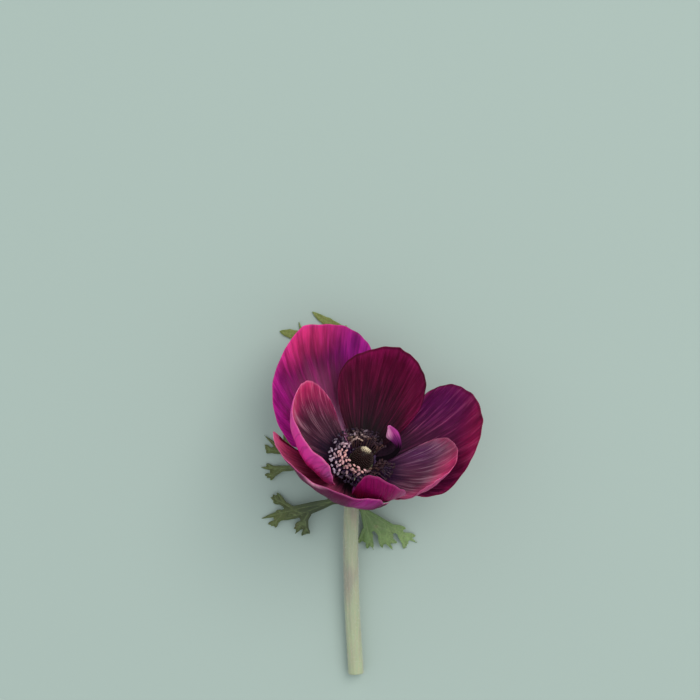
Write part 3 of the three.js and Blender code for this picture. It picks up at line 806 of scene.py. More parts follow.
def ovaryMaterial():
    material, tree, shader = newMaterial("ovary_dark")
    tip, cream = markOf(tree, "tip"), markOf(tree, "cream")
    place = inObject(tree)
    patches = cloud(tree, place, 900, 3)
    tones = ovary["tones"]
    colour = blendTones(tree, patches, *tones["dark"])
    colour = blendTones(tree, times(tree, tip, 0.6), colour, tones["tips"])
    # painted highlight: cream on the carpel tips near the top
    pale = times(tree, cream, remap(tree, tip, 0.0, 0.7, 0.5, 1.0))
    colour = blendTones(tree, pale, colour, tones["cream"])
    bump = bumped(tree, cloud(tree, place, 5000, 3), 0.4, 0.1)
    setShader(tree, shader, Base_Color=colour, Roughness=spread(tree, patches, 0.35, 0.6), Normal=bump)
    setShader(tree, shader, Sheen_Weight=0.05, Specular_IOR_Level=0.3)
    return material


def domePoint(share, turn):
    # share 0 at the dome's foot and 1 at its top
    radius, height = ovary["radius"], ovary["height"]
    angle = share * math.pi / 2
    x, y, z = math.cos(angle) * math.cos(turn), math.cos(angle) * math.sin(turn), math.sin(angle)
    point = Vector((radius * x, radius * y, ovary["bottom"] + height * z))
    return point, Vector((x / radius, y / radius, z / height)).normalized()


def ovaryDome():
    dome = addModel(bpy.ops.mesh.primitive_uv_sphere_add, segments=48, ring_count=40, radius=1)
    with editing(dome):
        bpy.ops.mesh.bisect(plane_co=(0, 0, 0), plane_no=(0, 0, 1), clear_inner=True, use_fill=True)
    points = pointsOf(dome.data) * (ovary["radius"], ovary["radius"], ovary["height"])
    setPoints(dome.data, inBloom(points + (0, 0, ovary["bottom"])))
    bpy.ops.object.shade_smooth()
    addMark(dome.data, "tip", np.zeros(len(points)))
    addMark(dome.data, "cream", np.zeros(len(points)))
    return dome


def ovaryCarpels():
    cone = {"vertices": ovary["carpelSides"], "radius1": 1, "radius2": ovary["carpelTop"], "depth": 1}
    model = addModel(bpy.ops.mesh.primitive_cone_add, location=(0, 0, 0.5), end_fill_type="NGON", **cone)
    with editing(model):
        bpy.ops.mesh.subdivide(number_cuts=1)
    shape = pointsOf(model.data)
    bulge = 1 + ovary["carpelBulge"] * np.sin(np.clip(shape[:, 2], 0, 1) * math.pi)
    shape[:, :2] *= bulge[:, None]
    draw = seeded(41)
    golden = math.pi * (3 - math.sqrt(5))
    placed, tips, cream = [], [], []
    for i in range(ovary["carpels"]):
        # rows of equal area, from the dome's top down to near its foot
        share = 1 - ovary["cover"] * math.sqrt((i + 0.5) / ovary["carpels"])
        point, normal = domePoint(share, i * golden)
        leaning = (normal + Vector((0, 0, ovary["upwards"]))).normalized()
        turn = leaning.to_track_quat("Z", "Y").to_matrix()
        wide = ovary["carpelRadius"] * (0.9 + 0.3 * draw())
        tall = ovary["carpelHeight"] * (0.75 + 0.5 * draw())
        local = shape * (wide, wide, tall) - (0, 0, ovary["sunk"])
        placed.append(inBloom(local @ np.array(turn).T + np.array(point)))
        tips.append(shape[:, 2])
        away = math.dist(point[:2], ovary["highlightAt"]) / ovary["highlightReach"]
        cream.append(max(0.0, 1 - away) ** 0.5 if share > 0.3 else 0.0)
    carpels = copiesJoined(model, "carpels", placed, {"cream": cream})
    addMark(carpels.data, "tip", np.concatenate(tips))
    discard(model)
    return carpels


def buildOvary():
    dome = ovaryDome()
    only(ovaryCarpels(), dome)
    bpy.ops.object.join()
    dome.name = "ovaryDome"
    finishPiece(dome, "ovary", ovaryMaterial())
    print("ovary done")


# Stamens: the part's own rows, with finer ones between them. A row has a count, a reach and a height, and
# each stamen strays a little in its turn, reach, height and lean. None stand where the petaloid does.
stamens = {
    "ring": {"inner": 4.6, "outer": 6.4, "top": 1.7, "inset": 0.4, "sunk": 0.9},
    "sets": [
        {
            "seed": 18, "shift": 0, "strays": (0.3, 0.9, 1.0, 60),
            "gap": (6, 44), "farGap": 70, "farFrom": 11,
            "rows": [(12, 6.9, 5.8), (16, 8.6, 5.4), (18, 10.4, 4.7), (20, 12.0, 3.9)],
        },
        {
            "seed": 7, "shift": 0.5, "strays": (0.5, 0.8, 1.2, 120),
            "gap": (9, 42), "farGap": 68, "farFrom": 10,
            "rows": [
                (18, 6.4, 6.6), (24, 7.3, 6.1), (28, 8.3, 5.7),
                (32, 9.4, 5.1), (36, 10.7, 4.4), (38, 12.2, 3.5),
            ],
        },
    ],
    "filamentRadius": 0.16,
    "filamentTaper": (1.3, 0.7),
    "filamentSteps": 5,
    "kneeOut": 0.4,
    "kneeUp": 0.85,
    "antherLength": 1.6,
    "antherWidth": 0.8,
    "antherDepth": 0.62,
    "groove": 0.22,
    # pollen and painted light, pale on the lit left, front and back of the ring: its middle, its breadth
    # before and after, and strength
    "turned": 19,
    "pollenAndLightAreas": [(190, 54, 42, 1.0), (256, 34, 34, 0.68), (98, 42, 42, 0.55)],
    "collar": {"major_radius": 5.5, "minor_radius": 0.8, "major_segments": 60, "minor_segments": 10},
    "collarPlace": 1.0,
    "collarFlat": 0.85,
    # each pair turns from violet to brown, or from cool to warm
    "antherTones": {
        "dark": "0e070c", "skin": ("3a2c48", "5c3a34"), "dust": ("b4a6b8", "ecb6b0"), "brown": "a08870",
    },
    "filamentTones": {"dark": "1e0c24", "lit": ("4c2a5e", "8a6a58")},
}


def stamenPlaces():
    places = []
    for group in stamens["sets"]:
        draw = seeded(group["seed"])
        strayTurn, strayOut, strayUp, strayLean = group["strays"]
        gapFrom, gapTo = group["gap"]
        for r, (count, reach, height) in enumerate(group["rows"]):
            lastGap = group["farGap"] if reach > group["farFrom"] else gapTo
            for i in range(count):
                turn = (i + 0.5 * (r % 2) + group["shift"] + strayTurn * (draw() - 0.5)) / count * 360
                out, up = reach + strayOut * (draw() - 0.5), height + strayUp * (draw() - 0.5)
                lean = strayLean * (draw() - 0.5)
                if turn <= gapFrom or turn >= lastGap:
                    places.append((turn, out, up, lean, r / len(group["rows"])))
    return places


def antherMaterial():
    material, tree, shader = newMaterial("anther_pollen")
    pollenAndLight, warm, brown = markOf(tree, "pollenAndLight"), markOf(tree, "warm"), markOf(tree, "brown")
    grains = cloud(tree, inObject(tree), 3200, 3, 0.7)
    tones = stamens["antherTones"]
    skin = blendTones(tree, brown, *tones["skin"])
    skin = blendTones(tree, remap(tree, grains, 0.35, 0.7), tones["dark"], skin)
    dust = blendTones(tree, warm, *tones["dust"])
    dust = blendTones(tree, brown, dust, tones["brown"])
    # the pale tone is pollen and painted light on the lit side of the ring, lavender as a painted highlight
    covered = plus(tree, times(tree, pollenAndLight, 1.1), around(tree, grains, 0.9))
    colour = blendTones(tree, remap(tree, covered, 0.25, 0.75), skin, dust)
    bump = bumped(tree, grains, 0.6, 0.2)
    setShader(tree, shader, Base_Color=colour, Roughness=0.7, Normal=bump, Specular_IOR_Level=0.2)
    return material


def filamentMaterial():
    material, tree, shader = newMaterial("filament_violet")
    tones = stamens["filamentTones"]
    lit = blendTones(tree, markOf(tree, "brown"), *tones["lit"])
    colour = blendTones(tree, cloud(tree, inObject(tree), 700, 2), tones["dark"], lit)
    setShader(tree, shader, Base_Color=colour, Roughness=0.5)
    return material


def antherModel():
    # two long pollen sacs with a groove between them
    model = addModel(bpy.ops.mesh.primitive_uv_sphere_add, segments=8, ring_count=6, radius=0.5)
    shape = pointsOf(model.data)
    turn = np.arctan2(shape[:, 1], shape[:, 0])
    shape[:, :2] *= (1 + stamens["groove"] * np.cos(2 * turn))[:, None]
    return model, shape * (stamens["antherWidth"], stamens["antherDepth"], stamens["antherLength"])


def filamentModel():
    rod = {"vertices": 6, "radius": 1, "depth": 1, "location": (0, 0, 0.5), "end_fill_type": "NGON"}
    model = addModel(bpy.ops.mesh.primitive_cylinder_add, **rod)
    steps = stamens["filamentSteps"]
    with editing(model):
        for i in range(1, steps):
            bpy.ops.mesh.select_all(action="SELECT")
            bpy.ops.mesh.bisect(plane_co=(0, 0, i / steps), plane_no=(0, 0, 1))
    return model, pointsOf(model.data)


def stamenMarks(turn, out, draw):
    # pale where the ring is lit, partly pollen and partly painted light; brown and violet where little lies,
    # and warmer in front and near the middle
    seen = (turn - stamens["turned"]) % 360
    left, front, back = (
        strength * math.exp(-(((seen - middle) / (after if seen > middle else before)) ** 2))
        for middle, before, after, strength in stamens["pollenAndLightAreas"]
    )
    inward = 1.2 - 0.15 * max(0, out - 6.5)
    amount = max(left * (inward + 1.1) / 2, front * max(0.1, 2.2 * inward - 1.4), back * inward)
    amount *= 0.35 + 0.9 * draw()
    if max(left, front) > 0.3:
        brown = 0.0
    elif out > 9:
        brown = 0.7 * draw()
    else:
        brown = 0.4 + 0.6 * draw()
    pollenAndLight = min(1.0, amount + 0.1 * draw())
    warm = min(1.0, max(0.0, 1.25 - 0.22 * (out - 6.5))) * (0.7 + 0.5 * draw())
    return pollenAndLight, warm * (1.0 if seen > 168 else 0.35), brown


def buildStamens():
    ring = stamens["ring"]
    anther, antherShape = antherModel()
    filament, filamentShape = filamentModel()
    shares = np.linspace(0, 1, stamens["filamentSteps"] + 1)[:, None]
    radii = np.linspace(*stamens["filamentTaper"], len(shares)) * stamens["filamentRadius"]
    draw = seeded(29)
    heads, rods, marks = [], [], []
    for turn, out, up, lean, share in stamenPlaces():
        angle, tilt = math.radians(turn), math.radians(lean)
        outward = np.array((math.cos(angle), math.sin(angle), 0))
        sideways = np.array((-math.sin(angle), math.cos(angle), 0))
        # the filament curves from the ring over a knee to its tip
        root = ring["inner"] + ring["inset"] + (ring["outer"] - ring["inner"] - 2 * ring["inset"]) * share
        start = outward * root + (0, 0, ring["top"] - ring["sunk"])
        kneeHeight = ring["top"] + (up - ring["top"]) * stamens["kneeUp"]
        knee = outward * (root + (out - root) * stamens["kneeOut"]) + (0, 0, kneeHeight)
        tip = outward * out + (0, 0, up)
        line = start * (1 - shares) ** 2 + knee * 2 * shares * (1 - shares) + tip * shares**2
        rods.append(inBloom(alongLine(filamentShape, line, radii)))
        along = unit(sideways * math.cos(tilt) + outward * math.sin(tilt) + (0, 0, 1.1 * (draw() - 0.5)))
        across = unit(np.cross(along, outward * 0.35 + (0, 0, 1)))
        size = 0.82 + 0.3 * draw()
        turned = antherShape * size @ np.array([across, np.cross(along, across), along])
        heads.append(inBloom(turned + tip))
        marks.append(stamenMarks(turn, out, draw))
    pollenAndLight, warm, brown = zip(*marks)
    headMarks = {"pollenAndLight": pollenAndLight, "warm": warm, "brown": brown}
    anthers = copiesJoined(anther, "antherHeads", heads, headMarks)
    anthers.data.materials.append(antherMaterial())
    filaments = copiesJoined(filament, "filaments", rods, {"brown": brown})
    violet = filamentMaterial()
    filaments.data.materials.append(violet)
    discard(anther)
    discard(filament)

    collar = addModel(bpy.ops.mesh.primitive_torus_add, **stamens["collar"])
    points = pointsOf(collar.data) * (1, 1, stamens["collarFlat"]) + (0, 0, stamens["collarPlace"])
    setPoints(collar.data, inBloom(points))
    bpy.ops.object.shade_smooth()
    collar.data.materials.append(violet)
    only(collar, filaments, anthers)
    bpy.ops.object.join()
    anthers.name = "stamenRing"
    register(anthers, "stamens")
    print("stamens done:", len(heads))


# Stem: centre line and radii of the part, with ridges, down and a pale cut end
stem = {
    "onAxis": (0.4, -1.5, -6.5),  # the stem's top and its first two points, along the bloom's axis
    "collar": (-3.0, -14.2, 7.4),
    "line": [(-3.6, -30, 5.7), (-3.2, -55, 4.0), (-1.6, -82, 2.6)],
    "curveSteps": 60,
    "radii": {"neck": 2.1, "collar": 3.1, "middle": 2.8, "end": 2.9},
    "pastCollar": 6,
    "collarBreadth": 4,
    "receptacle": [(0.4, 4.5), (0.1, 4.8), (-3.3, 4.8), (-4.2, 4.1), (-5.6, 2.6), (-7.5, 2.1)],
    "sides": 56,
    "steps": 190,
    "ridges": [(0.022, 11, 2.2), (0.012, 5, 9)],  # height as a share of the radius, count, twist
    "alongTones": [(0.0, "869468"), (0.12, "909474"), (0.45, "98a286"), (1.0, "a0ac88")],
    "tones": {"lines": "b0a890", "blush": "75506a", "cut": "c6cc9a", "down": ("c8c4b0", "e4e2d4")},
    "hairs": 3600,
    "hairsBetween": (0.085, 0.999),
    "hairLength": 0.9,
    "hairRadius": 0.028,
    "hairSunk": 0.1,
}


def stemCentreLine(count):
    # centripetal Catmull-Rom through the same points as the part's stem
    axis = np.array(bloomTurn @ Vector((0, 0, 1)))
    top, first, second = (np.array((0, 0, bloom["height"])) + axis * place for place in stem["onAxis"])
    knots = [first, second, np.array(stem["collar"]), *map(np.array, stem["line"])]
    knots = [2 * knots[0] - knots[1], *knots, 2 * knots[-1] - knots[-2]]
    line = [[top]]
    for i in range(1, len(knots) - 2):
        p0, p1, p2, p3 = knots[i - 1 : i + 3]
        t1 = np.linalg.norm(p1 - p0) ** 0.5
        t2 = t1 + np.linalg.norm(p2 - p1) ** 0.5
        t3 = t2 + np.linalg.norm(p3 - p2) ** 0.5
        t = np.linspace(t1, t2, stem["curveSteps"], endpoint=i == len(knots) - 3)[:, None]
        a1 = (t1 - t) / t1 * p0 + t / t1 * p1
        a2 = (t2 - t) / (t2 - t1) * p1 + (t - t1) / (t2 - t1) * p2
        a3 = (t3 - t) / (t3 - t2) * p2 + (t - t2) / (t3 - t2) * p3
        b1 = (t2 - t) / t2 * a1 + t / t2 * a2
        b2 = (t3 - t) / (t3 - t1) * a2 + (t - t1) / (t3 - t1) * a3
        line.append((t2 - t) / (t2 - t1) * b1 + (t - t1) / (t2 - t1) * b2)
    line = np.concatenate(line)
    walked = np.concatenate([[0], np.cumsum(np.linalg.norm(np.diff(line, axis=0), axis=1))])
    places = np.linspace(0, walked[-1], count)
    return np.stack([np.interp(places, walked, line[:, k]) for k in range(3)], axis=1), places


def stemRadii(line, places):
    radii = stem["radii"]
    past = places - places[np.argmin(np.linalg.norm(line - stem["collar"], axis=1))]
    body = radii["neck"] + (radii["middle"] - radii["neck"]) * np.clip(past / stem["pastCollar"], 0, 1)
    body += (radii["collar"] - radii["middle"]) * np.exp(-((past / stem["collarBreadth"]) ** 2))
    body += (radii["end"] - radii["middle"]) * (places / places[-1]) ** 6
    heights, widths = zip(*stem["receptacle"])
    cup = np.interp(places, [stem["onAxis"][0] - height for height in heights], widths, right=0)
    return np.maximum(body, cup)


def stemMaterial():
    material, tree, shader = newMaterial("stem_downy")
    lines = cloud(tree, stretched(tree, 1100, 60, 1100), 1.0, 4, 0.6)
    patches = cloud(tree, stretched(tree, 160, 50, 160), 1.0, 3)
    tones = stem["tones"]
    colour = toneRamp(tree, markOf(tree, "along"), stem["alongTones"])
    colour = blendTones(tree, times(tree, remap(tree, lines, 0.4, 0.7), 0.5), colour, tones["lines"])
    colour = blendTones(tree, times(tree, remap(tree, patches, 0.45, 0.7), 0.35), colour, tones["blush"])
    colour = blendTones(tree, markOf(tree, "cut"), colour, tones["cut"])
    height = plus(tree, lines, times(tree, cloud(tree, inObject(tree), 3000, 2), 0.3))
    setShader(tree, shader, Base_Color=colour, Roughness=0.58, Normal=bumped(tree, height, 0.5, 0.3))
    setShader(tree, shader, Sheen_Weight=0.4, Sheen_Roughness=0.4)
    setShader(tree, shader, Subsurface_Weight=0.12, Subsurface_Scale=1.0 * mm)
    return material


def downMaterial():
    material, tree, shader = newMaterial("fine_down")
    colour = blendTones(tree, cloud(tree, inObject(tree), 500, 2), *stem["tones"]["down"])
    setShader(tree, shader, Base_Color=colour, Roughness=0.6, Sheen_Weight=0.2)
    return material


def stemModel():
    # a straight rod with its round on x and y and its length on z from 0 to 1
    circle = {"vertices": stem["sides"], "radius": 1, "fill_type": "TRIFAN"}
    model = addModel(bpy.ops.mesh.primitive_circle_add, **circle)
    with editing(model):
        bpy.ops.mesh.extrude_region_move(TRANSFORM_OT_translate={"value": (0, 0, 1)})
    bm = bmesh.new()
    bm.from_mesh(model.data)
    rungs = [edge for edge in bm.edges if abs(edge.verts[0].co.z - edge.verts[1].co.z) > 0.5]
    bmesh.ops.subdivide_edges(bm, edges=rungs, cuts=stem["steps"] - 1, use_grid_fill=False)
    bmesh.ops.recalc_face_normals(bm, faces=bm.faces)
    bm.to_mesh(model.data)
    bm.free()
    return model, pointsOf(model.data)


def addDown(piece, turn, along):
    cone = {"vertices": 3, "radius1": 1, "radius2": 0, "depth": 1, "end_fill_type": "NOTHING"}
    hair = addModel(bpy.ops.mesh.primitive_cone_add, location=(0, 0, 0.5), **cone)
    shape = pointsOf(hair.data)
    skin = pointsOf(piece.data)
    normals = np.empty(len(skin) * 3)
    piece.data.vertices.foreach_get("normal", normals)
    normals = normals.reshape(-1, 3)
    low, high = stem["hairsBetween"]
    usable = np.flatnonzero((along > low) & (along < high))
    # sorted by place, as the order of the mesh's points changes from run to run
    usable = usable[np.lexsort((turn[usable].round(3), along[usable].round(4)))]
    draw = seeded(63)
    placed = []
    for i in range(stem["hairs"]):
        k = usable[int(draw() * len(usable))]
        ahead = Vector(normals[k]) + Vector((draw() - 0.5, draw() - 0.9, draw() - 0.5)) * 0.8
        toward = np.array(ahead.normalized().to_track_quat("Z", "Y").to_matrix())
        tall = stem["hairLength"] * (0.5 + 0.8 * draw())
        size = np.array((stem["hairRadius"], stem["hairRadius"], tall)) * mm
        strayed = np.array(((draw() - 0.5) * 0.3, (draw() - 0.5) * 0.5, 0)) - normals[k] * stem["hairSunk"]
        one = shape * size @ toward.T + skin[k] + strayed * mm
        if one[:, 2].min() > 0:
            placed.append(one)
    down = copiesJoined(hair, "stemDown", placed)
    discard(hair)
    finishPiece(down, "stem", downMaterial())
    print("stem done, hairs:", len(placed))


def buildStem():
    line, places = stemCentreLine(stem["steps"] + 1)
    radii = stemRadii(line, places)
    piece, shape = stemModel()
    piece.name = "stemDowny"
    turn, reach = np.arctan2(shape[:, 1], shape[:, 0]), np.hypot(shape[:, 0], shape[:, 1])
    along = shape[:, 2]
    ridge = 1 + sum(height * np.cos(count * turn + twist * along) for height, count, twist in stem["ridges"])
    shape[:, :2] *= ridge[:, None]
    placed = alongLine(shape, line, radii)
    placed[:, 2] = np.maximum(placed[:, 2], 0)
    setPoints(piece.data, inFlower(placed))
    addMark(piece.data, "along", along)
    addMark(piece.data, "cut", (along > 0.9999) & (reach < 0.9))
    only(piece)
    bpy.ops.object.shade_smooth()
    finishPiece(piece, "stem", stemMaterial())
    addDown(piece, turn, along)
    return line, radii


# Collar leaves: the part's own lobes, joined by a soft union, with small teeth and a rib down each lobe
leafShape = {
    "cell": 0.5,
    "thickness": 0.5,
    "rimShare": 0.4,
    "joining": 5.76,  # the higher, the less web there is between lobes
    "profile": ((0, 0.25, 0.5, 0.75, 0.9, 1), (0.62, 0.95, 1, 0.72, 0.4, 0.08)),  # width along a lobe
    "bladeSteps": 8,
    "curl": 10,
    "lobeTurn": 1.15,
    "lobeCurl": -0.3,
    "side": {"beyond": 7.5, "below": 50, "at": 0.42, "turn": 28, "length": 0.5, "width": 0.6, "curl": -8},
    "teeth": {"beyond": 6, "turn": 34, "width": 0.44, "curl": -10, "at": (0.56, 0.7), "onBroad": (0.2, 0.36)},
    "broad": 3.2,
    "joint": {"beyond": 0.8, "back": 0.25, "length": 0.25, "longer": 2, "width": 0.9},
    "ribDepth": 0.22,
    "ribWidth": 0.45,
    "keel": 0.5,
    "ripple": (0.9, 0.4, 0.16),
    "offStem": 0.4,
    "collarReach": 7,
    "toneStops": (0.05, 0.4, 0.95),
    "tones": {"rib": "90a468", "fine": "2c4420", "blush": "7a4a4c"},
}
# A segment has an angle, a length and lobes: place along, angle and length. The heights go from the collar
# to the tip.
leaves = [
    {
        "node": "leaf_left", "heading": 191, "length": 36, "stalk": 7, "width": 2.9, "lobeWidth": 2.2,
        "heights": (7.2, 5.4, 2.4, -0.1), "seed": 5, "tones": ("3e4c1c", "28340f", "525c24"),
        "segments": [
            (4, 29, [(0.3, 44, 13), (0.55, -41, 10.5), (0.7, 32, 7)]),
            (10, 22, [(0.46, 34, 8), (0.6, -30, 6)]),
            (-53, 36.5, [(0.34, -34, 10), (0.5, 42, 15), (0.62, -30, 10), (0.74, 30, 7)]),
        ],
    },
    {
        "node": "leaf_back", "heading": 107, "length": 72, "stalk": 30.5, "width": 3.1, "lobeWidth": 3.3,
        "heights": (5.0, 1.9, 0.9, -0.1), "seed": 11, "tones": ("4c5a2c", "4c5820", "727c34"),
        "segments": [
            (0, 39.5, [(0.3, 30, 9), (0.43, -28, 7), (0.6, 26, 7), (0.87, 64, 9)]),
            (-14, 34, [(0.3, -26, 9), (0.5, 25, 8), (0.64, -24, 9), (0.8, 24, 6)]),
            (-27, 36, [(0.3, -28, 10), (0.5, 24, 7), (0.66, -24, 9), (0.98, 70, 14.5)]),
        ],
    },
    {
        "node": "leaf_right", "heading": -50, "length": 31, "stalk": 6, "width": 2.5, "lobeWidth": 1.9,
        "heights": (7.2, 5.2, 2.2, -0.1), "seed": 23, "tones": ("5c7440", "56703c", "7c965a"),
        "segments": [
            (17.5, 25, [(0.38, -32, 9), (0.52, 24, 6), (0.66, -30, 7), (0.76, 24, 4.5)]),
            (-3.5, 20, [(0.4, 34, 8), (0.58, -28, 6), (0.7, 30, 5.5)]),
            (-25, 16.5, [(0.4, -36, 7.5), (0.7, -30, 4.5)]),
        ],
    },
]
far = 1e9  # longer than any distance here


def leafBlades(leaf):
    draw = seeded(leaf["seed"])
    side, teeth, joint = leafShape["side"], leafShape["teeth"], leafShape["joint"]
    width = leaf["width"]
    blades, joints = [], []

    def add(start, angle, length, width, curl=0):
        blades.append({"from": start, "angle": angle, "length": length, "width": width, "curl": curl})
        return blades[-1]

    def pointOn(blade, share):
        angle = math.radians(blade["angle"] + blade["curl"] * share / 2)
        reach = blade["length"] * share
        return blade["from"][0] - math.sin(angle) * reach, blade["from"][1] + math.cos(angle) * reach

    add((0, 0), 0, leaf["stalk"] + 2.5, width + 0.7)
    for angle, length, lobes in leaf["segments"]:
        curl = leafShape["curl"] * (draw() - 0.5)
        segment = add((0, leaf["stalk"]), angle - curl / 2, length, width, curl)
        for place, turn, reach in lobes:
            ahead = segment["angle"] + curl * place
            sideways = ahead + turn * leafShape["lobeTurn"]
            lobeCurl = turn * leafShape["lobeCurl"]
            lobe = add(pointOn(segment, place), sideways, reach, leaf["lobeWidth"], lobeCurl)
            if reach > side["beyond"] and abs(turn) < side["below"]:
                way = math.copysign(1, turn)
                size = reach * side["length"], width * side["width"]
                add(pointOn(lobe, side["at"]), sideways + way * side["turn"], *size, way * side["curl"])
            if place > joint["beyond"]:
                size = length * joint["length"] + joint["longer"], width * joint["width"]
                joints.append((pointOn(segment, place - joint["back"]), ahead, *size))
    # small teeth near the ends of the longer lobes
    for blade in blades[1:]:
        if blade["length"] > teeth["beyond"]:
            places = teeth["at"] if blade["width"] < leafShape["broad"] else teeth["onBroad"]
            for share, way in zip(places, (1, -1)):
                angle = blade["angle"] + blade["curl"] * share + way * teeth["turn"]
                add(pointOn(blade, share), angle, width, width * teeth["width"], way * teeth["curl"])
    # broad joints for the lobes that leave from the thin end of a segment
    for settings in joints:
        add(*settings)
    return blades


def leafField(blades, x, y):
    # signed distance to the joined lobes, the distance to the nearest lobe's middle, and its half width
    steps, joining = leafShape["bladeSteps"], leafShape["joining"]
    total = np.zeros_like(x)
    best, middle, width = np.full_like(x, far), np.zeros_like(x), np.ones_like(x)
    for blade in blades:
        shares = np.linspace(0, 1, steps + 1)
        angles = np.radians(blade["angle"] + blade["curl"] * shares[:-1])
        stride = blade["length"] / steps
        xs = blade["from"][0] + np.concatenate([[0], np.cumsum(-np.sin(angles) * stride)])
        ys = blade["from"][1] + np.concatenate([[0], np.cumsum(np.cos(angles) * stride)])
        halves = blade["width"] / 2 * np.interp(shares, *leafShape["profile"])
        own, ownMiddle, ownHalf = np.full_like(x, far), np.zeros_like(x), np.ones_like(x)
        for i in range(steps):
            dx, dy = xs[i + 1] - xs[i], ys[i + 1] - ys[i]
            t = np.clip(((x - xs[i]) * dx + (y - ys[i]) * dy) / (dx * dx + dy * dy), 0, 1)
            away = np.hypot(x - xs[i] - t * dx, y - ys[i] - t * dy)
            half = halves[i] + (halves[i + 1] - halves[i]) * t
            nearer = away - half < own
            own = np.where(nearer, away - half, own)
            ownMiddle, ownHalf = np.where(nearer, away, ownMiddle), np.where(nearer, half, ownHalf)
        total += np.exp(-own * joining)
        nearer = own < best
        best = np.where(nearer, own, best)
        middle, width = np.where(nearer, ownMiddle, middle), np.where(nearer, ownHalf, width)
    return -np.log(total + 1e-30) / joining, middle, width


def leafPlace(leaf, x, y, lift):
    # from the flat leaf, with its stalk's foot at the origin, to its place on the stem
    reach = np.minimum(1, np.hypot(x, y) / (leaf["length"] * 0.92))
    height = np.interp(reach, [0, 1 / 3, 2 / 3, 1], leaf["heights"])
    ripple, wavesX, wavesY = leafShape["ripple"]
    height += ripple * np.sin(x * wavesX + y * wavesY + leaf["seed"]) * reach * (1 - reach) * 2
    height = np.maximum(height + lift + 0.4, leafShape["thickness"] / 2 + 0.02)
    heading = math.radians(leaf["heading"] - 90)
    sine, cosine = math.sin(heading), math.cos(heading)
    collarX, collarY, _ = stem["collar"]
    return np.stack([collarX + x * cosine - y * sine, collarY + x * sine + y * cosine, height], axis=1)


def leafMaterial(leaf):
    material, tree, shader = newMaterial(leaf["node"] + "_green")
    place = inObject(tree)
    patches, fine = cloud(tree, place, 220, 3), cloud(tree, place, 1500, 3, 0.65)
    reach = plus(tree, markOf(tree, "reach"), around(tree, patches, 0.5))
    rib = remap(tree, markOf(tree, "rib"), 0.0, 0.4, 1.0, 0.0)
    colour = toneRamp(tree, reach, list(zip(leafShape["toneStops"], leaf["tones"])))
    tones = leafShape["tones"]
    colour = blendTones(tree, times(tree, rib, 0.3), colour, tones["rib"])
    colour = blendTones(tree, times(tree, remap(tree, fine, 0.4, 0.7), 0.3), colour, tones["fine"])
    colour = blendTones(tree, times(tree, remap(tree, patches, 0.6, 0.8), 0.35), colour, tones["blush"])
    bump = bumped(tree, plus(tree, fine, times(tree, patches, 0.6)), 0.5, 0.3)
    setShader(tree, shader, Base_Color=colour, Roughness=spread(tree, fine, 0.42, 0.62), Normal=bump)
    setShader(tree, shader, Subsurface_Weight=0.15, Subsurface_Scale=0.8 * mm)
    setShader(tree, shader, Subsurface_Radius=(0.5, 1.0, 0.2), Sheen_Weight=0.08)
    return material


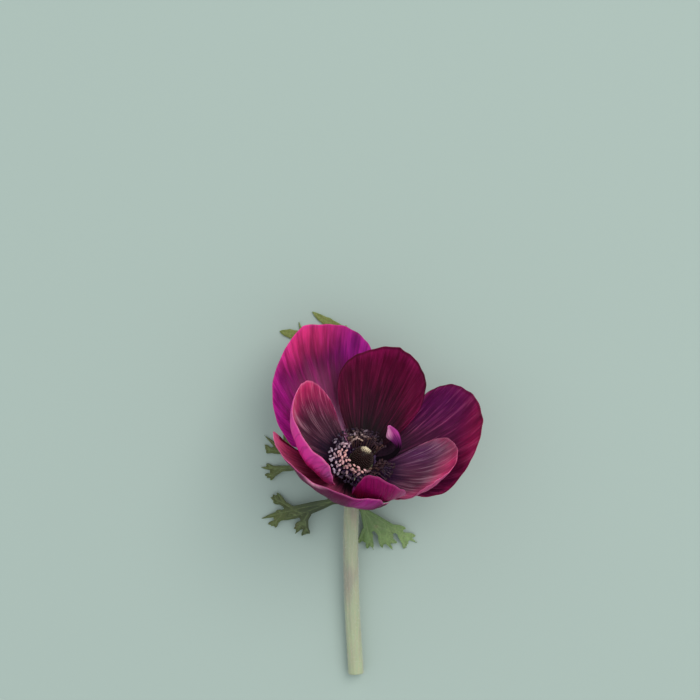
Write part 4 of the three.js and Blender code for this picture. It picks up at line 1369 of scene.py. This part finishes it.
def cutLeaf(piece, leaf, blades, stemLine, stemSizes):
    # cuts the sheet down to the lobes, and tells which of the points left are on its rim
    bm = bmesh.new()
    bm.from_mesh(piece.data)
    flat = np.array([vert.co[:2] for vert in bm.verts])
    field = leafField(blades, flat[:, 0], flat[:, 1])[0]
    # lobes end where they would run through the stem
    points = leafPlace(leaf, flat[:, 0], flat[:, 1], 0.0)
    nearest = np.full(len(points), far)
    for centre, radius in zip(stemLine[::3], stemSizes[::3]):
        nearest = np.minimum(nearest, np.linalg.norm(points - centre, axis=1) - radius)
    blocked = (nearest < leafShape["offStem"]) & (np.hypot(flat[:, 0], flat[:, 1]) > leafShape["collarReach"])
    outside = (field > leafShape["cell"] * 0.75) | blocked
    bmesh.ops.delete(bm, geom=[vert for vert, out in zip(bm.verts, outside) if out], context="VERTS")
    # keep what grows from the collar
    start = min(bm.verts, key=lambda vert: vert.co.length)
    kept, todo = {start}, [start]
    while todo:
        for edge in todo.pop().link_edges:
            fresh = [vert for vert in edge.verts if vert not in kept]
            kept.update(fresh)
            todo.extend(fresh)
    bmesh.ops.delete(bm, geom=[vert for vert in bm.verts if vert not in kept], context="VERTS")
    bmesh.ops.delete(bm, geom=[vert for vert in bm.verts if not vert.link_faces], context="VERTS")
    bm.to_mesh(piece.data)
    rim = np.array([vert.is_boundary for vert in bm.verts])
    bm.free()
    return rim


def pullToEdge(flat, rim, blades):
    # moves the rim's points onto the line where the signed distance is zero
    step = 0.05
    for _ in range(4):
        x, y = flat[rim].T
        value = leafField(blades, x, y)[0]
        slopeX = (leafField(blades, x + step, y)[0] - value) / step
        slopeY = (leafField(blades, x, y + step)[0] - value) / step
        share = np.clip(value, -0.8, 0.8) / np.maximum(slopeX * slopeX + slopeY * slopeY, 0.3)
        flat[rim] -= np.stack([slopeX * share, slopeY * share], axis=1)


def buildLeaf(leaf, stemLine, stemSizes):
    blades = leafBlades(leaf)
    reach = leaf["length"] + 6
    cells = int(round(reach * 1.5 / leafShape["cell"]))
    sheet = {"x_subdivisions": cells, "y_subdivisions": cells, "size": reach * 1.5}
    piece = addModel(bpy.ops.mesh.primitive_grid_add, location=(0, reach * 0.5, 0), **sheet)
    piece.name = pieceName(leaf["node"])
    rim = cutLeaf(piece, leaf, blades, stemLine, stemSizes)
    flat = pointsOf(piece.data)[:, :2].copy()
    pullToEdge(flat, rim, blades)
    field, middle, width = leafField(blades, flat[:, 0], flat[:, 1])
    lift = leafShape["keel"] * (np.clip(middle / width, 0, 1) ** 2 - 0.4)
    lift -= leafShape["ribDepth"] * np.exp(-((middle / leafShape["ribWidth"]) ** 2))
    setPoints(piece.data, inFlower(leafPlace(leaf, flat[:, 0], flat[:, 1], lift)))
    addMark(piece.data, "reach", np.hypot(flat[:, 0], flat[:, 1]) / leaf["length"])
    addMark(piece.data, "rib", middle)
    thicken(piece, leafShape["thickness"], smoothStep(0, 1.0, -field), leafShape["rimShare"], 0)
    finishPiece(piece, leaf["node"], leafMaterial(leaf))
    print(piece.name, "done:", len(piece.data.polygons), "faces")


buildStudio()
veinGroup = buildVeinGroup()
buildPetals(veinGroup)
buildPetaloid(veinGroup)
buildOvary()
buildStamens()
stemLine, stemSizes = buildStem()
for leaf in leaves:
    buildLeaf(leaf, stemLine, stemSizes)
